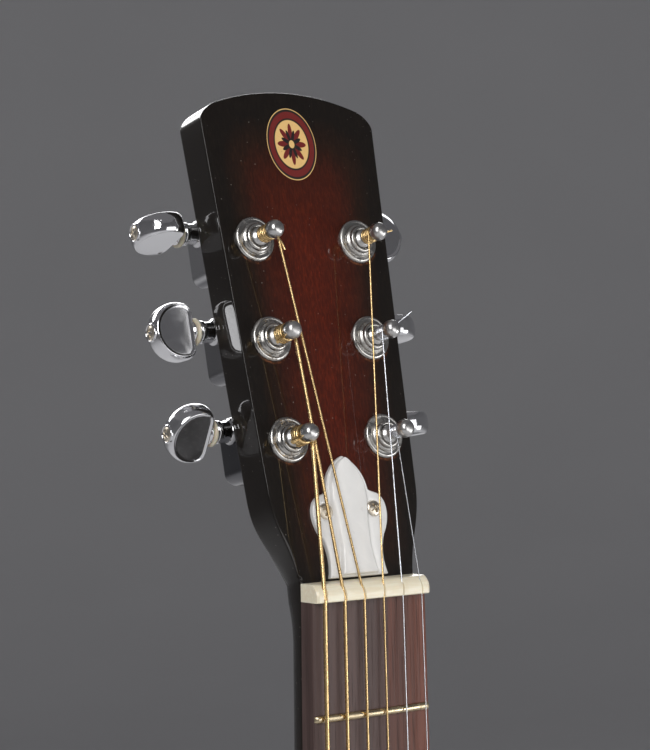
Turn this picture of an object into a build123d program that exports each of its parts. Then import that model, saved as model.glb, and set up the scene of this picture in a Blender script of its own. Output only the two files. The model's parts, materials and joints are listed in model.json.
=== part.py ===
"""Six-string resonator guitar: solid peghead, round neck, wooden body with a spider-bridge cone.

Frame: +X towards the treble side, +Y towards the back, +Z up the neck to the peghead.
The origin is the middle of the nut's front face, level with the top of the fingerboard.
"""
import os
from math import asin, cos, degrees, radians, sin

from build123d import *

os.makedirs("parts", exist_ok=True)

# ---- driving dimensions, in millimetres and degrees ----
scale_length = 635.0
fret_count = 19
body_joint_fret = 12
nut_width = 43.8
nut_length = 5.6
nut_rise = 1.9
board_thickness = 7.0
board_radius = 305.0
board_end = 430.0
board_width_at_joint = 52.5
neck_depth_at_nut = 21.5
neck_depth_at_heel = 24.0

head_tilt = 12.5
head_thickness = 13.5
head_length = 160.0
head_half_width_low = 28.9
head_half_width_high = 34.2
head_shoulder = 28.0
head_corner = 153.0
head_crown_drop = 1.75
post_rows = (45.0, 77.5, 110.0)
post_offsets = (18.6, 19.4, 20.3)

worm_offset = 7.0
worm_depth = 5.5
gear_teeth = 14
worm_pitch = 2.11
button_reach = 32.2
button_width = 19.0
button_thickness = 7.0

body_front = 14.0
body_depth = 83.0
body_length = 495.0
upper_bout = 254.0
waist = 226.0
lower_bout = 362.0
top_thickness = 3.5
back_thickness = 3.0
side_thickness = 2.5
binding_width = 2.0
lining_width = 6.0
lining_height = 12.0

cover_radius = 143.0
cover_rise = 11.0
cone_radius = 133.0
well_radius = 135.0
well_wall = 6.0
saddle_top = -7.0
sound_hole_radius = 33.0

# name, radius and nut place of each string, and the post it winds on: side, row, turn of its button
string_radii = {1: 0.15, 2: 0.21, 3: 0.31, 4: 0.41, 5: 0.54, 6: 0.68}
posts = {
    1: (1, 0, 85.0),
    2: (1, 1, 90.0),
    3: (1, 2, 5.0),
    4: (-1, 2, -80.0),
    5: (-1, 1, 0.0),
    6: (-1, 0, -40.0),
}
nut_spread = 37.6
saddle_spread = 53.0

# ---- derived places ----
body_top = -scale_length * (1 - 2 ** (-body_joint_fret / 12))
body_end = body_top - body_length
body_back = body_front + body_depth
bridge_z = -scale_length
inner_top = body_front + top_thickness
inner_back = body_back - back_thickness
cover_top = body_front - cover_rise
well_ledge = inner_top + 9.5

tilt = radians(head_tilt)
head_normal = Vector(0, -cos(tilt), sin(tilt))
head_up = Vector(0, sin(tilt), cos(tilt))
head_origin = Vector(0, board_thickness, nut_length)
head_plane = Plane(head_origin, x_dir=(1, 0, 0), z_dir=head_normal)
bridge_axis = Axis((0, 0, bridge_z), (0, 1, 0))
pieces = []


def keep(piece, name):
    """Label a finished piece and write its STEP file."""
    piece.label = name
    export_step(piece, f"parts/{name}.step")
    pieces.append(name)


def on_head(x, s, n):
    """The point at x across, s up and n in front of the peghead's face."""
    return head_origin + Vector(x, 0, 0) + head_up * s + head_normal * n


def fret_z(number):
    """The place of a fret along the neck, from the equal-tempered rule."""
    return -scale_length * (1 - 2 ** (-number / 12))


def board_half_width(z):
    """Half the width of the tapered fingerboard at a place along the neck."""
    growth = (board_width_at_joint - nut_width) / 2 / -body_top
    return nut_width / 2 - growth * z


def front_sketch_plane(y):
    """A plane facing the player at depth y, drawn in X and Z."""
    return Plane((0, y, 0), x_dir=(1, 0, 0), z_dir=(0, -1, 0))


def facing_player(x, y, z):
    """A plane facing the player whose own origin is this point."""
    return Plane((x, y, z), x_dir=(1, 0, 0), z_dir=(0, -1, 0))


def post_place(number):
    """Across and up-the-peghead place of a string's post."""
    side, row, _ = posts[number]
    return side * post_offsets[row], post_rows[row]


# ---- fingerboard, frets and position dots ----
slot_half = 0.3
slot_depth = 3.2
with BuildPart() as fingerboard:
    with BuildSketch(front_sketch_plane(board_thickness)):
        with BuildLine():
            Polyline(
                (-board_half_width(0), 0),
                (board_half_width(0), 0),
                (board_half_width(-board_end), -board_end),
                (-board_half_width(-board_end), -board_end),
                close=True,
            )
        make_face()
    extrude(amount=board_thickness + 1)
    with BuildSketch(Plane.XY):
        with Locations((0, board_radius)):
            Circle(board_radius)
    extrude(amount=-board_end, mode=Mode.INTERSECT)
    for number in range(1, fret_count + 1):
        with BuildSketch(Plane.XY.offset(fret_z(number) - slot_half)):
            with Locations((0, slot_depth / 2 - 0.5)):
                Rectangle(80, slot_depth + 1)
        extrude(amount=2 * slot_half, mode=Mode.SUBTRACT)

dot_frets = (5, 7, 9, 15, 17)
double_dot_fret = 12
double_dot_side = 9.0
dot_radius = 3.0
dot_depth = 1.6


def between_frets(number):
    """The place along the neck halfway between a fret and the one before it."""
    return (fret_z(number) + fret_z(number - 1)) / 2


dot_places = [(0, between_frets(number)) for number in dot_frets]
dot_places += [(side * double_dot_side, between_frets(double_dot_fret)) for side in (-1, 1)]
with BuildPart(front_sketch_plane(dot_depth)) as dot_blanks:
    with Locations(*dot_places):
        Cylinder(dot_radius, dot_depth + 1, align=(Align.CENTER, Align.CENTER, Align.MIN))
with BuildPart() as fret_markers:
    add(dot_blanks.part)
    with BuildSketch(Plane.XY):
        with Locations((0, board_radius)):
            Circle(board_radius - 0.02)
    extrude(amount=-board_end, mode=Mode.INTERSECT)
with BuildPart() as dotted_board:
    add(fingerboard.part)
    add(dot_blanks.part, mode=Mode.SUBTRACT)
keep(dotted_board.part, "fingerboard")
keep(fret_markers.part, "fret_markers")

crown_height = 1.1
crown_half = 1.2
tang_half = 0.25
tang_depth = 1.8
fret_end_gap = 0.2
with BuildPart() as frets:
    for number in range(1, fret_count + 1):
        z = fret_z(number)
        half = degrees(asin((board_half_width(z) - fret_end_gap) / board_radius))
        start = Vector(0, -1, 0).rotate(Axis.Z, -half)
        radial = Plane((0, board_radius, z), x_dir=(0, 0, 1), z_dir=Vector(0, 0, 1).cross(start))
        with BuildSketch(radial):
            with BuildLine():
                crest = (0, board_radius + crown_height)
                ThreePointArc((-crown_half, board_radius), crest, (crown_half, board_radius))
                Polyline(
                    (-crown_half, board_radius),
                    (-tang_half, board_radius),
                    (-tang_half, board_radius - tang_depth),
                    (tang_half, board_radius - tang_depth),
                    (tang_half, board_radius),
                    (crown_half, board_radius),
                )
            make_face()
        revolve(axis=Axis((0, board_radius, 0), (0, 0, 1)), revolution_arc=2 * half)
keep(frets.part, "frets")

# ---- body outline: flat by the neck, then one smooth curve down each side ----
outline_flat = 30.0
upper_bout_place = 84.0
waist_place = 188.0
lower_bout_place = 352.0
outline_pull = [1.0, 1.0, 0.9, 1.0, 1.2]


def body_outline(inset=0.0):
    """The body's outline, drawn in X and Z, with every bout drawn in by an inset."""
    right = [
        (outline_flat, body_top - inset),
        (upper_bout / 2 - inset, body_top - upper_bout_place),
        (waist / 2 - inset, body_top - waist_place),
        (lower_bout / 2 - inset, body_top - lower_bout_place),
        (0, body_end + inset),
    ]
    left = [(-x, z) for x, z in reversed(right)]
    with BuildSketch() as shape:
        with BuildLine():
            Line(left[-1], right[0])
            Spline(
                *right,
                tangents=[(1, 0), (0, -1), (0, -1), (0, -1), (-1, 0)],
                tangent_scalars=outline_pull,
            )
            Spline(
                *left,
                tangents=[(-1, 0), (0, 1), (0, 1), (0, 1), (1, 0)],
                tangent_scalars=outline_pull[::-1],
            )
        make_face()
    return shape.sketch


outline = body_outline()
outline_inside_binding = body_outline(binding_width)
outline_inside_sides = body_outline(side_thickness)
outline_inside_lining = body_outline(side_thickness + lining_width)

# ---- neck: peghead, shaft, heel, tongue over the body and tenon in one piece of wood ----
tenon_width = 30.0
tenon_length = 28.0
tenon_bottom = 88.0
heel_width = 47.0
heel_cap_width = 28.0
heel_cap = body_back - 2
heel_reach = 62.0
bushing_hole_radius = 5.05
rod_y = 13.0
rod_radius = 2.5
rod_clearance = 0.1
rod_thread_radius = 1.9
rod_end_gap = 12.0
rod_bore_end = 10.0
end_pin_radius = 3.0
heel_button_rise = 8.0
pocket_half_width = 6.0
pocket_start = 1.5
pocket_length = 19.0
pocket_depth = 9.5
volute_rise = 9.0
volute_half_width = 22.6
volute_end = -8.0
volute_depth = 21.6
shaft_start = -32.0
neck_fullness = 0.56
head_corner_radius = 6.0
heel_edge_radius = 7.0
heel_foot = 15.0


def neck_section(plane, half, front, back, fullness):
    """Flat-fronted section with a round back; fullness 0.56 is a neck, 1 is nearly square."""
    shoulder = front + (0.45 + 0.55 * fullness) * (back - front)
    with BuildSketch(plane) as section:
        with BuildLine():
            Line((half, front), (-half, front))
            Bezier(
                (-half, front),
                (-half, shoulder),
                (-half * fullness, back),
                (0, back),
            )
            Bezier(
                (0, back),
                (half * fullness, back),
                (half, shoulder),
                (half, front),
            )
        make_face()
    return section.sketch


with BuildPart() as peghead:
    with BuildSketch(head_plane):
        with BuildLine():
            neck_corner = (nut_width / 2, 0)
            shoulder = (head_half_width_low, head_shoulder)
            corner = (head_half_width_high, head_corner)
            Line((0, 0), neck_corner)
            Bezier(
                neck_corner,
                (neck_corner[0] + 1.6, head_shoulder * 0.42),
                (shoulder[0] - 0.9, head_shoulder * 0.55),
                shoulder,
            )
            Line(shoulder, corner)
            ThreePointArc(corner, (corner[0] / 2, head_length - head_crown_drop), (0, head_length))
            Line((0, head_length), (0, 0))
        make_face()
        mirror(about=Plane.YZ)
    extrude(amount=-head_thickness)
    across = peghead.edges().filter_by(Axis(head_origin, head_normal))
    corners = across.filter_by(lambda edge: abs(edge.center().X) > head_half_width_high - 0.1)
    fillet(corners, head_corner_radius)

heel_curve_end = (neck_depth_at_heel - 2, body_top + heel_reach)
with BuildPart() as heel:
    with BuildSketch(Plane.YZ):
        with BuildLine():
            Polyline(
                heel_curve_end,
                (board_thickness + 1, body_top + heel_reach),
                (board_thickness + 1, body_top),
                (heel_cap, body_top),
                (heel_cap, body_top + heel_foot),
            )
            Bezier(
                (heel_cap, body_top + heel_foot),
                (heel_cap - 34, body_top + heel_foot + 1),
                (neck_depth_at_heel + 10, body_top + 30),
                heel_curve_end,
            )
        make_face()
    extrude(amount=heel_width / 2, both=True)
    with BuildSketch(Plane.XY.offset(body_top)):
        with BuildLine():
            Polyline(
                (-heel_width / 2, board_thickness),
                (heel_width / 2, board_thickness),
                (heel_cap_width / 2, heel_cap),
                (-heel_cap_width / 2, heel_cap),
                close=True,
            )
        make_face()
    extrude(amount=heel_reach, mode=Mode.INTERSECT)
    curved = heel.edges().filter_by(GeomType.BEZIER) + heel.edges().filter_by(GeomType.BSPLINE)
    fillet(curved, heel_edge_radius)

volute_plane = Plane(on_head(0, volute_rise, 0), x_dir=(1, 0, 0), z_dir=head_up)
volute_start = neck_section(volute_plane, volute_half_width, 0, head_thickness, 0.95)


def shaft_section(z, back, fullness=neck_fullness):
    """The neck's section under the fingerboard at a place along it."""
    return neck_section(Plane.XY.offset(z), board_half_width(z), board_thickness, back, fullness)


with BuildPart() as neck:
    top_section = shaft_section(shaft_start, neck_depth_at_nut)
    loft([volute_start, shaft_section(volute_end, volute_depth, 0.72), top_section])
    loft([top_section, shaft_section(body_top, neck_depth_at_heel)], ruled=True)
    add(peghead.part)
    add(heel.part)
    with BuildSketch(front_sketch_plane(board_thickness)):
        with Locations((0, nut_length)):
            Rectangle(120, 500, align=(Align.CENTER, Align.MAX))
    extrude(amount=30, mode=Mode.SUBTRACT)
    with BuildSketch(head_plane):
        Rectangle(120, head_length + 20, align=(Align.CENTER, Align.MIN))
    extrude(amount=30, mode=Mode.SUBTRACT)
    with BuildSketch(front_sketch_plane(body_front)):
        with BuildLine():
            tongue_half = board_half_width(body_top) - 1
            tongue_end_half = board_half_width(-board_end) - 1
            Polyline(
                (-tongue_half, body_top),
                (tongue_half, body_top),
                (tongue_end_half, 2 - board_end),
                (-tongue_end_half, 2 - board_end),
                close=True,
            )
        make_face()
    extrude(amount=body_front - board_thickness)
    with BuildSketch(front_sketch_plane(inner_top)):
        with Locations((0, body_top - tenon_length / 2)):
            Rectangle(tenon_width, tenon_length)
    extrude(amount=-(tenon_bottom - inner_top))
    with BuildSketch(head_plane.offset(1)):
        with Locations(*[post_place(number) for number in posts]):
            Circle(bushing_hole_radius)
    extrude(amount=-(head_thickness + 2), mode=Mode.SUBTRACT)
    with BuildSketch(head_plane.offset(1)):
        with Locations((0, pocket_start + pocket_length / 2)):
            RectangleRounded(2 * pocket_half_width, pocket_length, 4)
    extrude(amount=-(pocket_depth + 1), mode=Mode.SUBTRACT)
    with BuildSketch(front_sketch_plane(heel_cap + 1)):
        with Locations((0, body_top + heel_button_rise)):
            Circle(end_pin_radius + 0.1)
    extrude(amount=20, mode=Mode.SUBTRACT)
    with BuildSketch(Plane.XY.offset(body_top + rod_bore_end)):
        with Locations((0, rod_y)):
            Circle(rod_radius + rod_clearance)
    extrude(amount=-body_top - rod_bore_end + nut_length + 4, mode=Mode.SUBTRACT)
keep(neck.part, "neck")

# ---- truss rod, its nut and the cover over the pocket ----
rod_nut_start = nut_length + 1.9
rod_nut_length = 6.5
rod_nut_radius = 3.5
with BuildPart() as truss_rod:
    with BuildSketch(Plane.XY.offset(body_top + rod_end_gap)):
        with Locations((0, rod_y)):
            Circle(rod_radius)
    extrude(amount=-body_top - rod_end_gap + nut_length)
    with BuildSketch(Plane.XY.offset(nut_length)):
        with Locations((0, rod_y)):
            Circle(rod_thread_radius)
    extrude(amount=rod_nut_length + 3.2)
keep(truss_rod.part, "truss_rod")

with BuildPart() as truss_rod_nut:
    with BuildSketch(Plane.XY.offset(rod_nut_start)):
        with Locations((0, rod_y)):
            RegularPolygon(rod_nut_radius, 6)
            Circle(rod_thread_radius + 0.03, mode=Mode.SUBTRACT)
    extrude(amount=rod_nut_length)
keep(truss_rod_nut.part, "truss_rod_nut")

cover_plate_thickness = 1.6
cover_tongue_height = 1.5
cover_screw_place = (9.4, 21.6)
cover_screw_radius = 1.15
cover_tip = 39.0
with BuildPart() as truss_rod_cover:
    with BuildSketch(head_plane):
        with BuildLine():
            Line((0, 0.6), (11.3, 0.6))
            Bezier((11.3, 0.6), (10.1, 4), (10.1, 9), (12.0, 13.2))
            Bezier((12.0, 13.2), (15.0, 17.5), (15.3, 23), (12.8, 25.6))
            Bezier((12.8, 25.6), (11.3, 27.2), (9.6, 26.8), (8.2, 27.6))
            Bezier((8.2, 27.6), (7.8, 33), (4.2, 36.6), (0, cover_tip))
            Line((0, cover_tip), (0, 0.6))
        make_face()
        mirror(about=Plane.YZ)
    extrude(amount=cover_plate_thickness)
    with BuildSketch(head_plane.offset(cover_plate_thickness)):
        with BuildLine():
            Line((0, 1.0), (7.2, 1.0))
            Bezier((7.2, 1.0), (5.4, 8), (5.6, 14), (6.3, 19))
            Bezier((6.3, 19), (7.6, 24), (7.8, 30), (0, cover_tip - 1.2))
            Line((0, cover_tip - 1.2), (0, 1.0))
        make_face()
        mirror(about=Plane.YZ)
    extrude(amount=cover_tongue_height, taper=25)
    with BuildSketch(head_plane.offset(cover_plate_thickness + 1)):
        with Locations((-cover_screw_place[0], cover_screw_place[1]), cover_screw_place):
            Circle(cover_screw_radius + 0.1)
    extrude(amount=-4, mode=Mode.SUBTRACT)
keep(truss_rod_cover.part, "truss_rod_cover")

# ---- strings: a straight run over saddle and nut, ending in the turns round the post ----
nut_top = -nut_rise
wrap_radius = 1.95
wrap_start = 4.7
wrap_height = 5.4
lip_z = bridge_z - 106.0
lip_thickness = 1.5
ball_radius = 1.9
ball_length = 3.2
ball_y = 2.6
string_seat = 0.62


def string_x(number, spread):
    """Across place of a string where the six spread evenly over this width."""
    return spread / 2 - (number - 1) * spread / 5


def string_line(number):
    """The string's corner points: ball, saddle, nut and where it meets its post."""
    radius = string_radii[number]
    side = posts[number][0]
    x, s = post_place(number)
    turn_radius = wrap_radius + 0.03 + radius
    ball = Vector(string_x(number, saddle_spread), ball_y, lip_z - lip_thickness - ball_radius - 0.1)
    saddle = Vector(string_x(number, saddle_spread), saddle_top - radius, bridge_z)
    nut = Vector(string_x(number, nut_spread), nut_top + string_seat, 0.9)
    post = on_head(x - side * turn_radius, s, wrap_start + wrap_height - radius - 0.1)
    return ball, saddle, nut, post


def string_path(number):
    """The string's line, rounded where it bends over the saddle and the nut."""
    return FilletPolyline(*string_line(number), radius=[12, 5])


def make_string(number):
    """Ball end, straight run and a plain sleeve that stands for the turns on the post."""
    radius = string_radii[number]
    ball = string_line(number)[0]
    x, s = post_place(number)
    post_plane = Plane(on_head(x, s, wrap_start), x_dir=(1, 0, 0), z_dir=head_normal)
    with BuildPart() as string:
        with BuildLine() as path:
            string_path(number)
        with BuildSketch(path.line ^ 0):
            Circle(radius)
        sweep()
        with BuildSketch(Plane(ball - Vector(ball_length / 2, 0, 0), z_dir=(1, 0, 0))):
            Circle(ball_radius)
        extrude(amount=ball_length)
        with BuildSketch(post_plane):
            Circle(wrap_radius + 0.03 + 2 * radius)
            Circle(wrap_radius + 0.03, mode=Mode.SUBTRACT)
        extrude(amount=wrap_height)
    return string.part


for number in posts:
    keep(make_string(number), f"string_{number}")

# ---- nut ----
nut_slot_gap = 0.12
nut_slot_run = 9.5
with BuildPart() as nut:
    with BuildSketch(Plane.YZ):
        with BuildLine():
            nut_crest = (nut_top, 1.6)
            nut_heel = (nut_top + 2.6, nut_length)
            Polyline((board_thickness, 0), (nut_top, 0), nut_crest)
            ThreePointArc(nut_crest, (nut_top + 0.7, 4.4), nut_heel)
            Polyline(nut_heel, (board_thickness, nut_length), (board_thickness, 0))
        make_face()
    extrude(amount=nut_width / 2, both=True)
    for number in posts:
        _, saddle, crest, post = string_line(number)
        half = string_radii[number] + nut_slot_gap
        for far in (saddle, post):
            run = far - crest
            over = Plane(crest, x_dir=run, z_dir=run.cross(Vector(0, 1, 0)))
            with BuildSketch(over):
                with Locations((4, 0)):
                    Rectangle(nut_slot_run, 2 * half)
                with Locations((4, half + 2.5 if over.y_dir.Y < 0 else -half - 2.5)):
                    Rectangle(nut_slot_run, 5 + half)
            extrude(amount=half, both=True, mode=Mode.SUBTRACT)
keep(nut.part, "nut")

# ---- tuning machines ----
bushing_bore = 3.05
post_radius = 3.0
waist_start = 4.65
waist_end = 10.2
head_radius = 2.9
post_top = 14.6
washer_radius = 7.3
washer_thickness = 1.3
washer_chamfer = 0.5
case_half_width = 8.5
case_low = -9.5
case_high = 12.5
case_depth = 12.2
case_wall = 1.2
case_cover_thickness = 1.0
case_inner_width = 2 * (case_half_width - case_wall)
case_inner_length = case_high - case_low - 2 * case_wall
gear_thickness = 3.0
gear_tip = 5.3
gear_root = 3.95
seat_radius = 2.0
worm_crest = 2.75
worm_core = 1.45
shaft_radius = 1.9
collar_radius = 3.6
collar_end = 14.6
button_start = 16.5
journal_end = 8.3
gear_level = -head_thickness - worm_depth
shaft_end = button_reach - 3.0
button_screw_radius = 0.9
button_screw_head = 2.4
lug_radius = 3.2
lug_thickness = 1.6
lug_drop = 2.5
lug_hole_radius = 1.3
case_corner = 4.0
# start, thickness and radius of the two washers between the collar and the button
button_washers = ((collar_end + 0.1, 0.7, 4.0), (collar_end + 0.85, 1.0, 4.6))


def tuner_plane(number, n=0.0):
    """The peghead's plane moved to a post's centre, n in front of the face."""
    x, s = post_place(number)
    return Plane(on_head(x, s, n), x_dir=(1, 0, 0), z_dir=head_normal)


def turned_plane(number):
    """A plane through a post's axis, drawn across and in front of the face."""
    x, s = post_place(number)
    return Plane(on_head(x, s, 0), x_dir=(1, 0, 0), z_dir=-head_up)


def worm_plane(number, out=0.0):
    """A plane across a tuner's worm shaft, out from the post's axis, facing its button."""
    side = posts[number][0]
    x, s = post_place(number)
    place = on_head(x + side * out, s + worm_offset, gear_level)
    return Plane(place, x_dir=head_up, z_dir=(side, 0, 0))


def post_axis(number):
    """The axis a string post turns about."""
    x, s = post_place(number)
    return Axis(on_head(x, s, 0), head_normal)


def make_post(number):
    """String post: gear seat, shaft, waist for the turns, hole and domed head."""
    seat_start = gear_level - gear_thickness / 2 - 0.1
    shaft_start = gear_level + gear_thickness / 2 + 0.1
    with BuildPart() as post:
        with BuildSketch(turned_plane(number)):
            with BuildLine():
                Polyline(
                    (0, seat_start - 1.5),
                    (seat_radius - 0.5, seat_start - 1.5),
                    (seat_radius, seat_start - 1),
                    (seat_radius, shaft_start),
                    (post_radius, shaft_start),
                    (post_radius, waist_start - 0.9),
                )
                waist_low = (wrap_radius, waist_start)
                waist_high = (wrap_radius, waist_end)
                ThreePointArc((post_radius, waist_start - 0.9), (2.45, waist_start - 0.45), waist_low)
                Line(waist_low, waist_high)
                ThreePointArc(waist_high, (2.4, 10.75), (head_radius, 11.1))
                Line((head_radius, 11.1), (head_radius, 12.4))
                Bezier((head_radius, 12.4), (head_radius, 13.9), (1.6, post_top), (0, post_top))
                Line((0, post_top), (0, seat_start - 1.5))
            make_face()
        revolve(axis=post_axis(number))
    return post.part


def make_gear(number):
    """Straight-toothed gear on the post, with a gap facing the worm."""
    pitch_angle = 360 / gear_teeth
    with BuildPart() as gear:
        with BuildSketch(tuner_plane(number, gear_level - gear_thickness / 2)):
            Circle(gear_root)
            with Locations(*[Location((0, 0), 90 + (k + 0.5) * pitch_angle) for k in range(gear_teeth)]):
                Polygon(
                    (gear_root - 0.3, -0.45),
                    (gear_tip, -0.22),
                    (gear_tip, 0.22),
                    (gear_root - 0.3, 0.45),
                    align=None,
                )
            Circle(seat_radius + 0.02, mode=Mode.SUBTRACT)
        extrude(amount=gear_thickness)
    return gear.part


# left-handed worm between two journals, and the shaft that carries the button, made along +Z;
# three turns put the thread on the gear's side, which is -X here, at the middle of the worm
worm_half = 1.5 * worm_pitch
thread_height = worm_crest - worm_core + 0.05
with BuildPart() as worm_shaft:
    with BuildSketch(Plane.XY.offset(-journal_end)):
        Circle(worm_core)
    extrude(amount=journal_end + 5.2)
    with BuildSketch(Plane.XY.offset(5)):
        Circle(shaft_radius)
    extrude(amount=shaft_end - 5)
    with BuildSketch(Plane.XY.offset(shaft_end)):
        Circle(button_screw_radius + 0.02)
    extrude(amount=-4.5, mode=Mode.SUBTRACT)
    with BuildLine():
        thread_line = Helix(
            worm_pitch, 2 * worm_half, worm_core - 0.05, center=(0, 0, -worm_half), lefthand=True
        )
    with BuildSketch(Plane(thread_line @ 0, x_dir=(1, 0, 0), z_dir=thread_line % 0)):
        Polygon((0, -0.42), (thread_height, -0.24), (thread_height, 0.24), (0, 0.42), align=None)
    sweep(path=thread_line, is_frenet=True)


def make_button(number):
    """Kidney-shaped button with its end screw and the two washers behind it, as separate solids."""
    side, _, turn = posts[number]
    x, s = post_place(number)
    face = head_normal.rotate(Axis.X, -turn)
    flat = Plane(on_head(x, s + worm_offset, gear_level), x_dir=(side, 0, 0), z_dir=face)
    with BuildPart() as knob:
        with BuildSketch(flat):
            with BuildLine():
                Line((button_start, -4), (button_start, 4))
                shoulder = (20.2, button_width / 2)
                Bezier((button_start, 4), (button_start, 6.6), (17.6, 8.9), shoulder)
                ThreePointArc(shoulder, (button_reach, 0), (shoulder[0], -shoulder[1]))
                Bezier((shoulder[0], -shoulder[1]), (17.6, -8.9), (button_start, -6.6), (button_start, -4))
            make_face()
        extrude(amount=button_thickness / 2, both=True)
        fillet(knob.edges().group_by(Axis((0, 0, 0), face))[-1], 1.0)
        fillet(knob.edges().group_by(Axis((0, 0, 0), face))[0], 1.0)
        with BuildSketch(worm_plane(number, button_start - 1)):
            Circle(shaft_radius + 0.02)
        extrude(amount=shaft_end + 0.1 - button_start + 1, mode=Mode.SUBTRACT)
        with BuildSketch(worm_plane(number, shaft_end)):
            Circle(button_screw_radius + 0.1)
        extrude(amount=4, mode=Mode.SUBTRACT)
        with BuildSketch(worm_plane(number, button_reach - 0.8)):
            Circle(button_screw_head + 0.05)
        extrude(amount=2, mode=Mode.SUBTRACT)
    with BuildPart() as screw:
        with BuildSketch(worm_plane(number, button_reach - 0.8)):
            Circle(button_screw_head)
        extrude(amount=1.1)
        with BuildSketch(worm_plane(number, shaft_end - 4)):
            Circle(button_screw_radius)
        extrude(amount=4 + button_reach - shaft_end - 0.8)
    with BuildPart() as washers:
        for start, thickness, radius in button_washers:
            with BuildSketch(worm_plane(number, start)):
                Circle(radius)
                Circle(shaft_radius + 0.02, mode=Mode.SUBTRACT)
            extrude(amount=thickness)
    return Compound(children=[knob.part, screw.part, washers.part])


def make_housing(number):
    """Hollow die-cast case behind the peghead, open at the back, with collar and screw lug."""
    middle = (case_low + case_high) / 2
    back = -head_thickness
    with BuildPart() as case:
        with BuildSketch(tuner_plane(number, back)):
            with Locations((0, middle)):
                RectangleRounded(2 * case_half_width, case_high - case_low, case_corner)
        extrude(amount=-case_depth)
        fillet(case.faces().sort_by(Axis((0, 0, 0), head_normal))[0].edges(), 1.0)
        with BuildSketch(tuner_plane(number, back)):
            with Locations((0, case_low - lug_drop)):
                Circle(lug_radius)
                Rectangle(2 * lug_radius, 5, align=(Align.CENTER, Align.MIN))
        extrude(amount=-lug_thickness)
        with BuildSketch(worm_plane(number, case_half_width - 0.5)):
            Circle(collar_radius)
        extrude(amount=collar_end - case_half_width + 0.5)
        with BuildSketch(tuner_plane(number, back - case_wall)):
            with Locations((0, middle)):
                RectangleRounded(case_inner_width, case_inner_length, case_corner - 1)
        extrude(amount=-case_depth, mode=Mode.SUBTRACT)
        with BuildSketch(tuner_plane(number, back + 1)):
            Circle(bushing_thread + 0.03)
        extrude(amount=-4, mode=Mode.SUBTRACT)
        with BuildSketch(worm_plane(number, 0)):
            Circle(shaft_radius + 0.05)
        extrude(amount=collar_end + 1, mode=Mode.SUBTRACT)
        with BuildSketch(worm_plane(number, 0)):
            Circle(worm_core + 0.05)
        extrude(amount=-case_half_width - 1, mode=Mode.SUBTRACT)
        with BuildSketch(tuner_plane(number, back + 1)):
            with Locations((0, case_low - lug_drop)):
                Circle(lug_hole_radius)
        extrude(amount=-4, mode=Mode.SUBTRACT)
    return case.part


def make_case_cover(number):
    """Plate that closes the back of a tuner's case."""
    middle = (case_low + case_high) / 2
    with BuildPart() as cover:
        with BuildSketch(tuner_plane(number, -head_thickness - case_depth)):
            with Locations((0, middle)):
                RectangleRounded(case_inner_width - 0.1, case_inner_length - 0.1, case_corner - 1.05)
        extrude(amount=case_cover_thickness)
    return cover.part


bushing_thread = 4.95
bushing_flange = 5.5
bushing_flange_height = 1.3
bushing_top_radius = 4.5
bushing_top_height = 1.0


def make_bushing(number):
    """Stepped round bushing that screws through the peghead into the case and carries the post."""
    with BuildPart() as bushing:
        with BuildSketch(tuner_plane(number, washer_thickness)):
            Circle(bushing_flange)
        extrude(amount=bushing_flange_height, taper=15)
        with BuildSketch(tuner_plane(number, washer_thickness + bushing_flange_height)):
            Circle(bushing_top_radius)
        extrude(amount=bushing_top_height, taper=20)
        with BuildSketch(tuner_plane(number, washer_thickness)):
            Circle(bushing_thread)
        extrude(amount=-washer_thickness - head_thickness - case_wall)
        with BuildSketch(tuner_plane(number, 10)):
            Circle(bushing_bore)
        extrude(amount=-40, mode=Mode.SUBTRACT)
    return bushing.part


def make_washer(number):
    """Round flange washer under a bushing's head."""
    with BuildPart() as washer:
        with BuildSketch(tuner_plane(number)):
            Circle(washer_radius)
            Circle(bushing_thread + 0.05, mode=Mode.SUBTRACT)
        extrude(amount=washer_thickness)
        upper = washer.edges().group_by(Axis((0, 0, 0), head_normal))[-1]
        chamfer(upper.sort_by(SortBy.RADIUS)[-1], washer_chamfer)
    return washer.part


for number in posts:
    keep(make_post(number), f"string_post_{number}")
    keep(make_gear(number), f"post_gear_{number}")
    keep(worm_shaft.part.moved(worm_plane(number).location), f"worm_shaft_{number}")
    keep(make_button(number), f"tuner_button_{number}")
keep(Compound(children=[make_housing(number) for number in posts]), "tuner_housings")
keep(Compound(children=[make_case_cover(number) for number in posts]), "tuner_covers")
keep(Compound(children=[make_bushing(number) for number in posts]), "tuner_bushings")
keep(Compound(children=[make_washer(number) for number in posts]), "tuner_washers")

# ---- body: soundboard, back, sides, binding, linings, braces and end blocks ----
sound_hole_side = 76.0
sound_hole_drop = 86.0
sound_holes = [(side * sound_hole_side, body_top - sound_hole_drop) for side in (-1, 1)]
block_half_width = 40.0
neck_block_depth = 45.0
tail_block_depth = 22.0
tail_block_width = 64.0
brace_length = 300.0
brace_width = 8.0
brace_height = 14.0


def plate(shape, start, thickness):
    """A flat plate of this outline, from depth start towards the back."""
    with BuildPart() as made:
        with BuildSketch(front_sketch_plane(start)):
            add(shape)
        extrude(amount=-thickness)
    return made.part


def wall(outer, inner, start, end):
    """A standing wall between two outlines, from depth start to depth end."""
    with BuildPart() as made:
        with BuildSketch(front_sketch_plane(start)):
            add(outer)
            add(inner, mode=Mode.SUBTRACT)
        extrude(amount=-(end - start))
    return made.part


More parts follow.
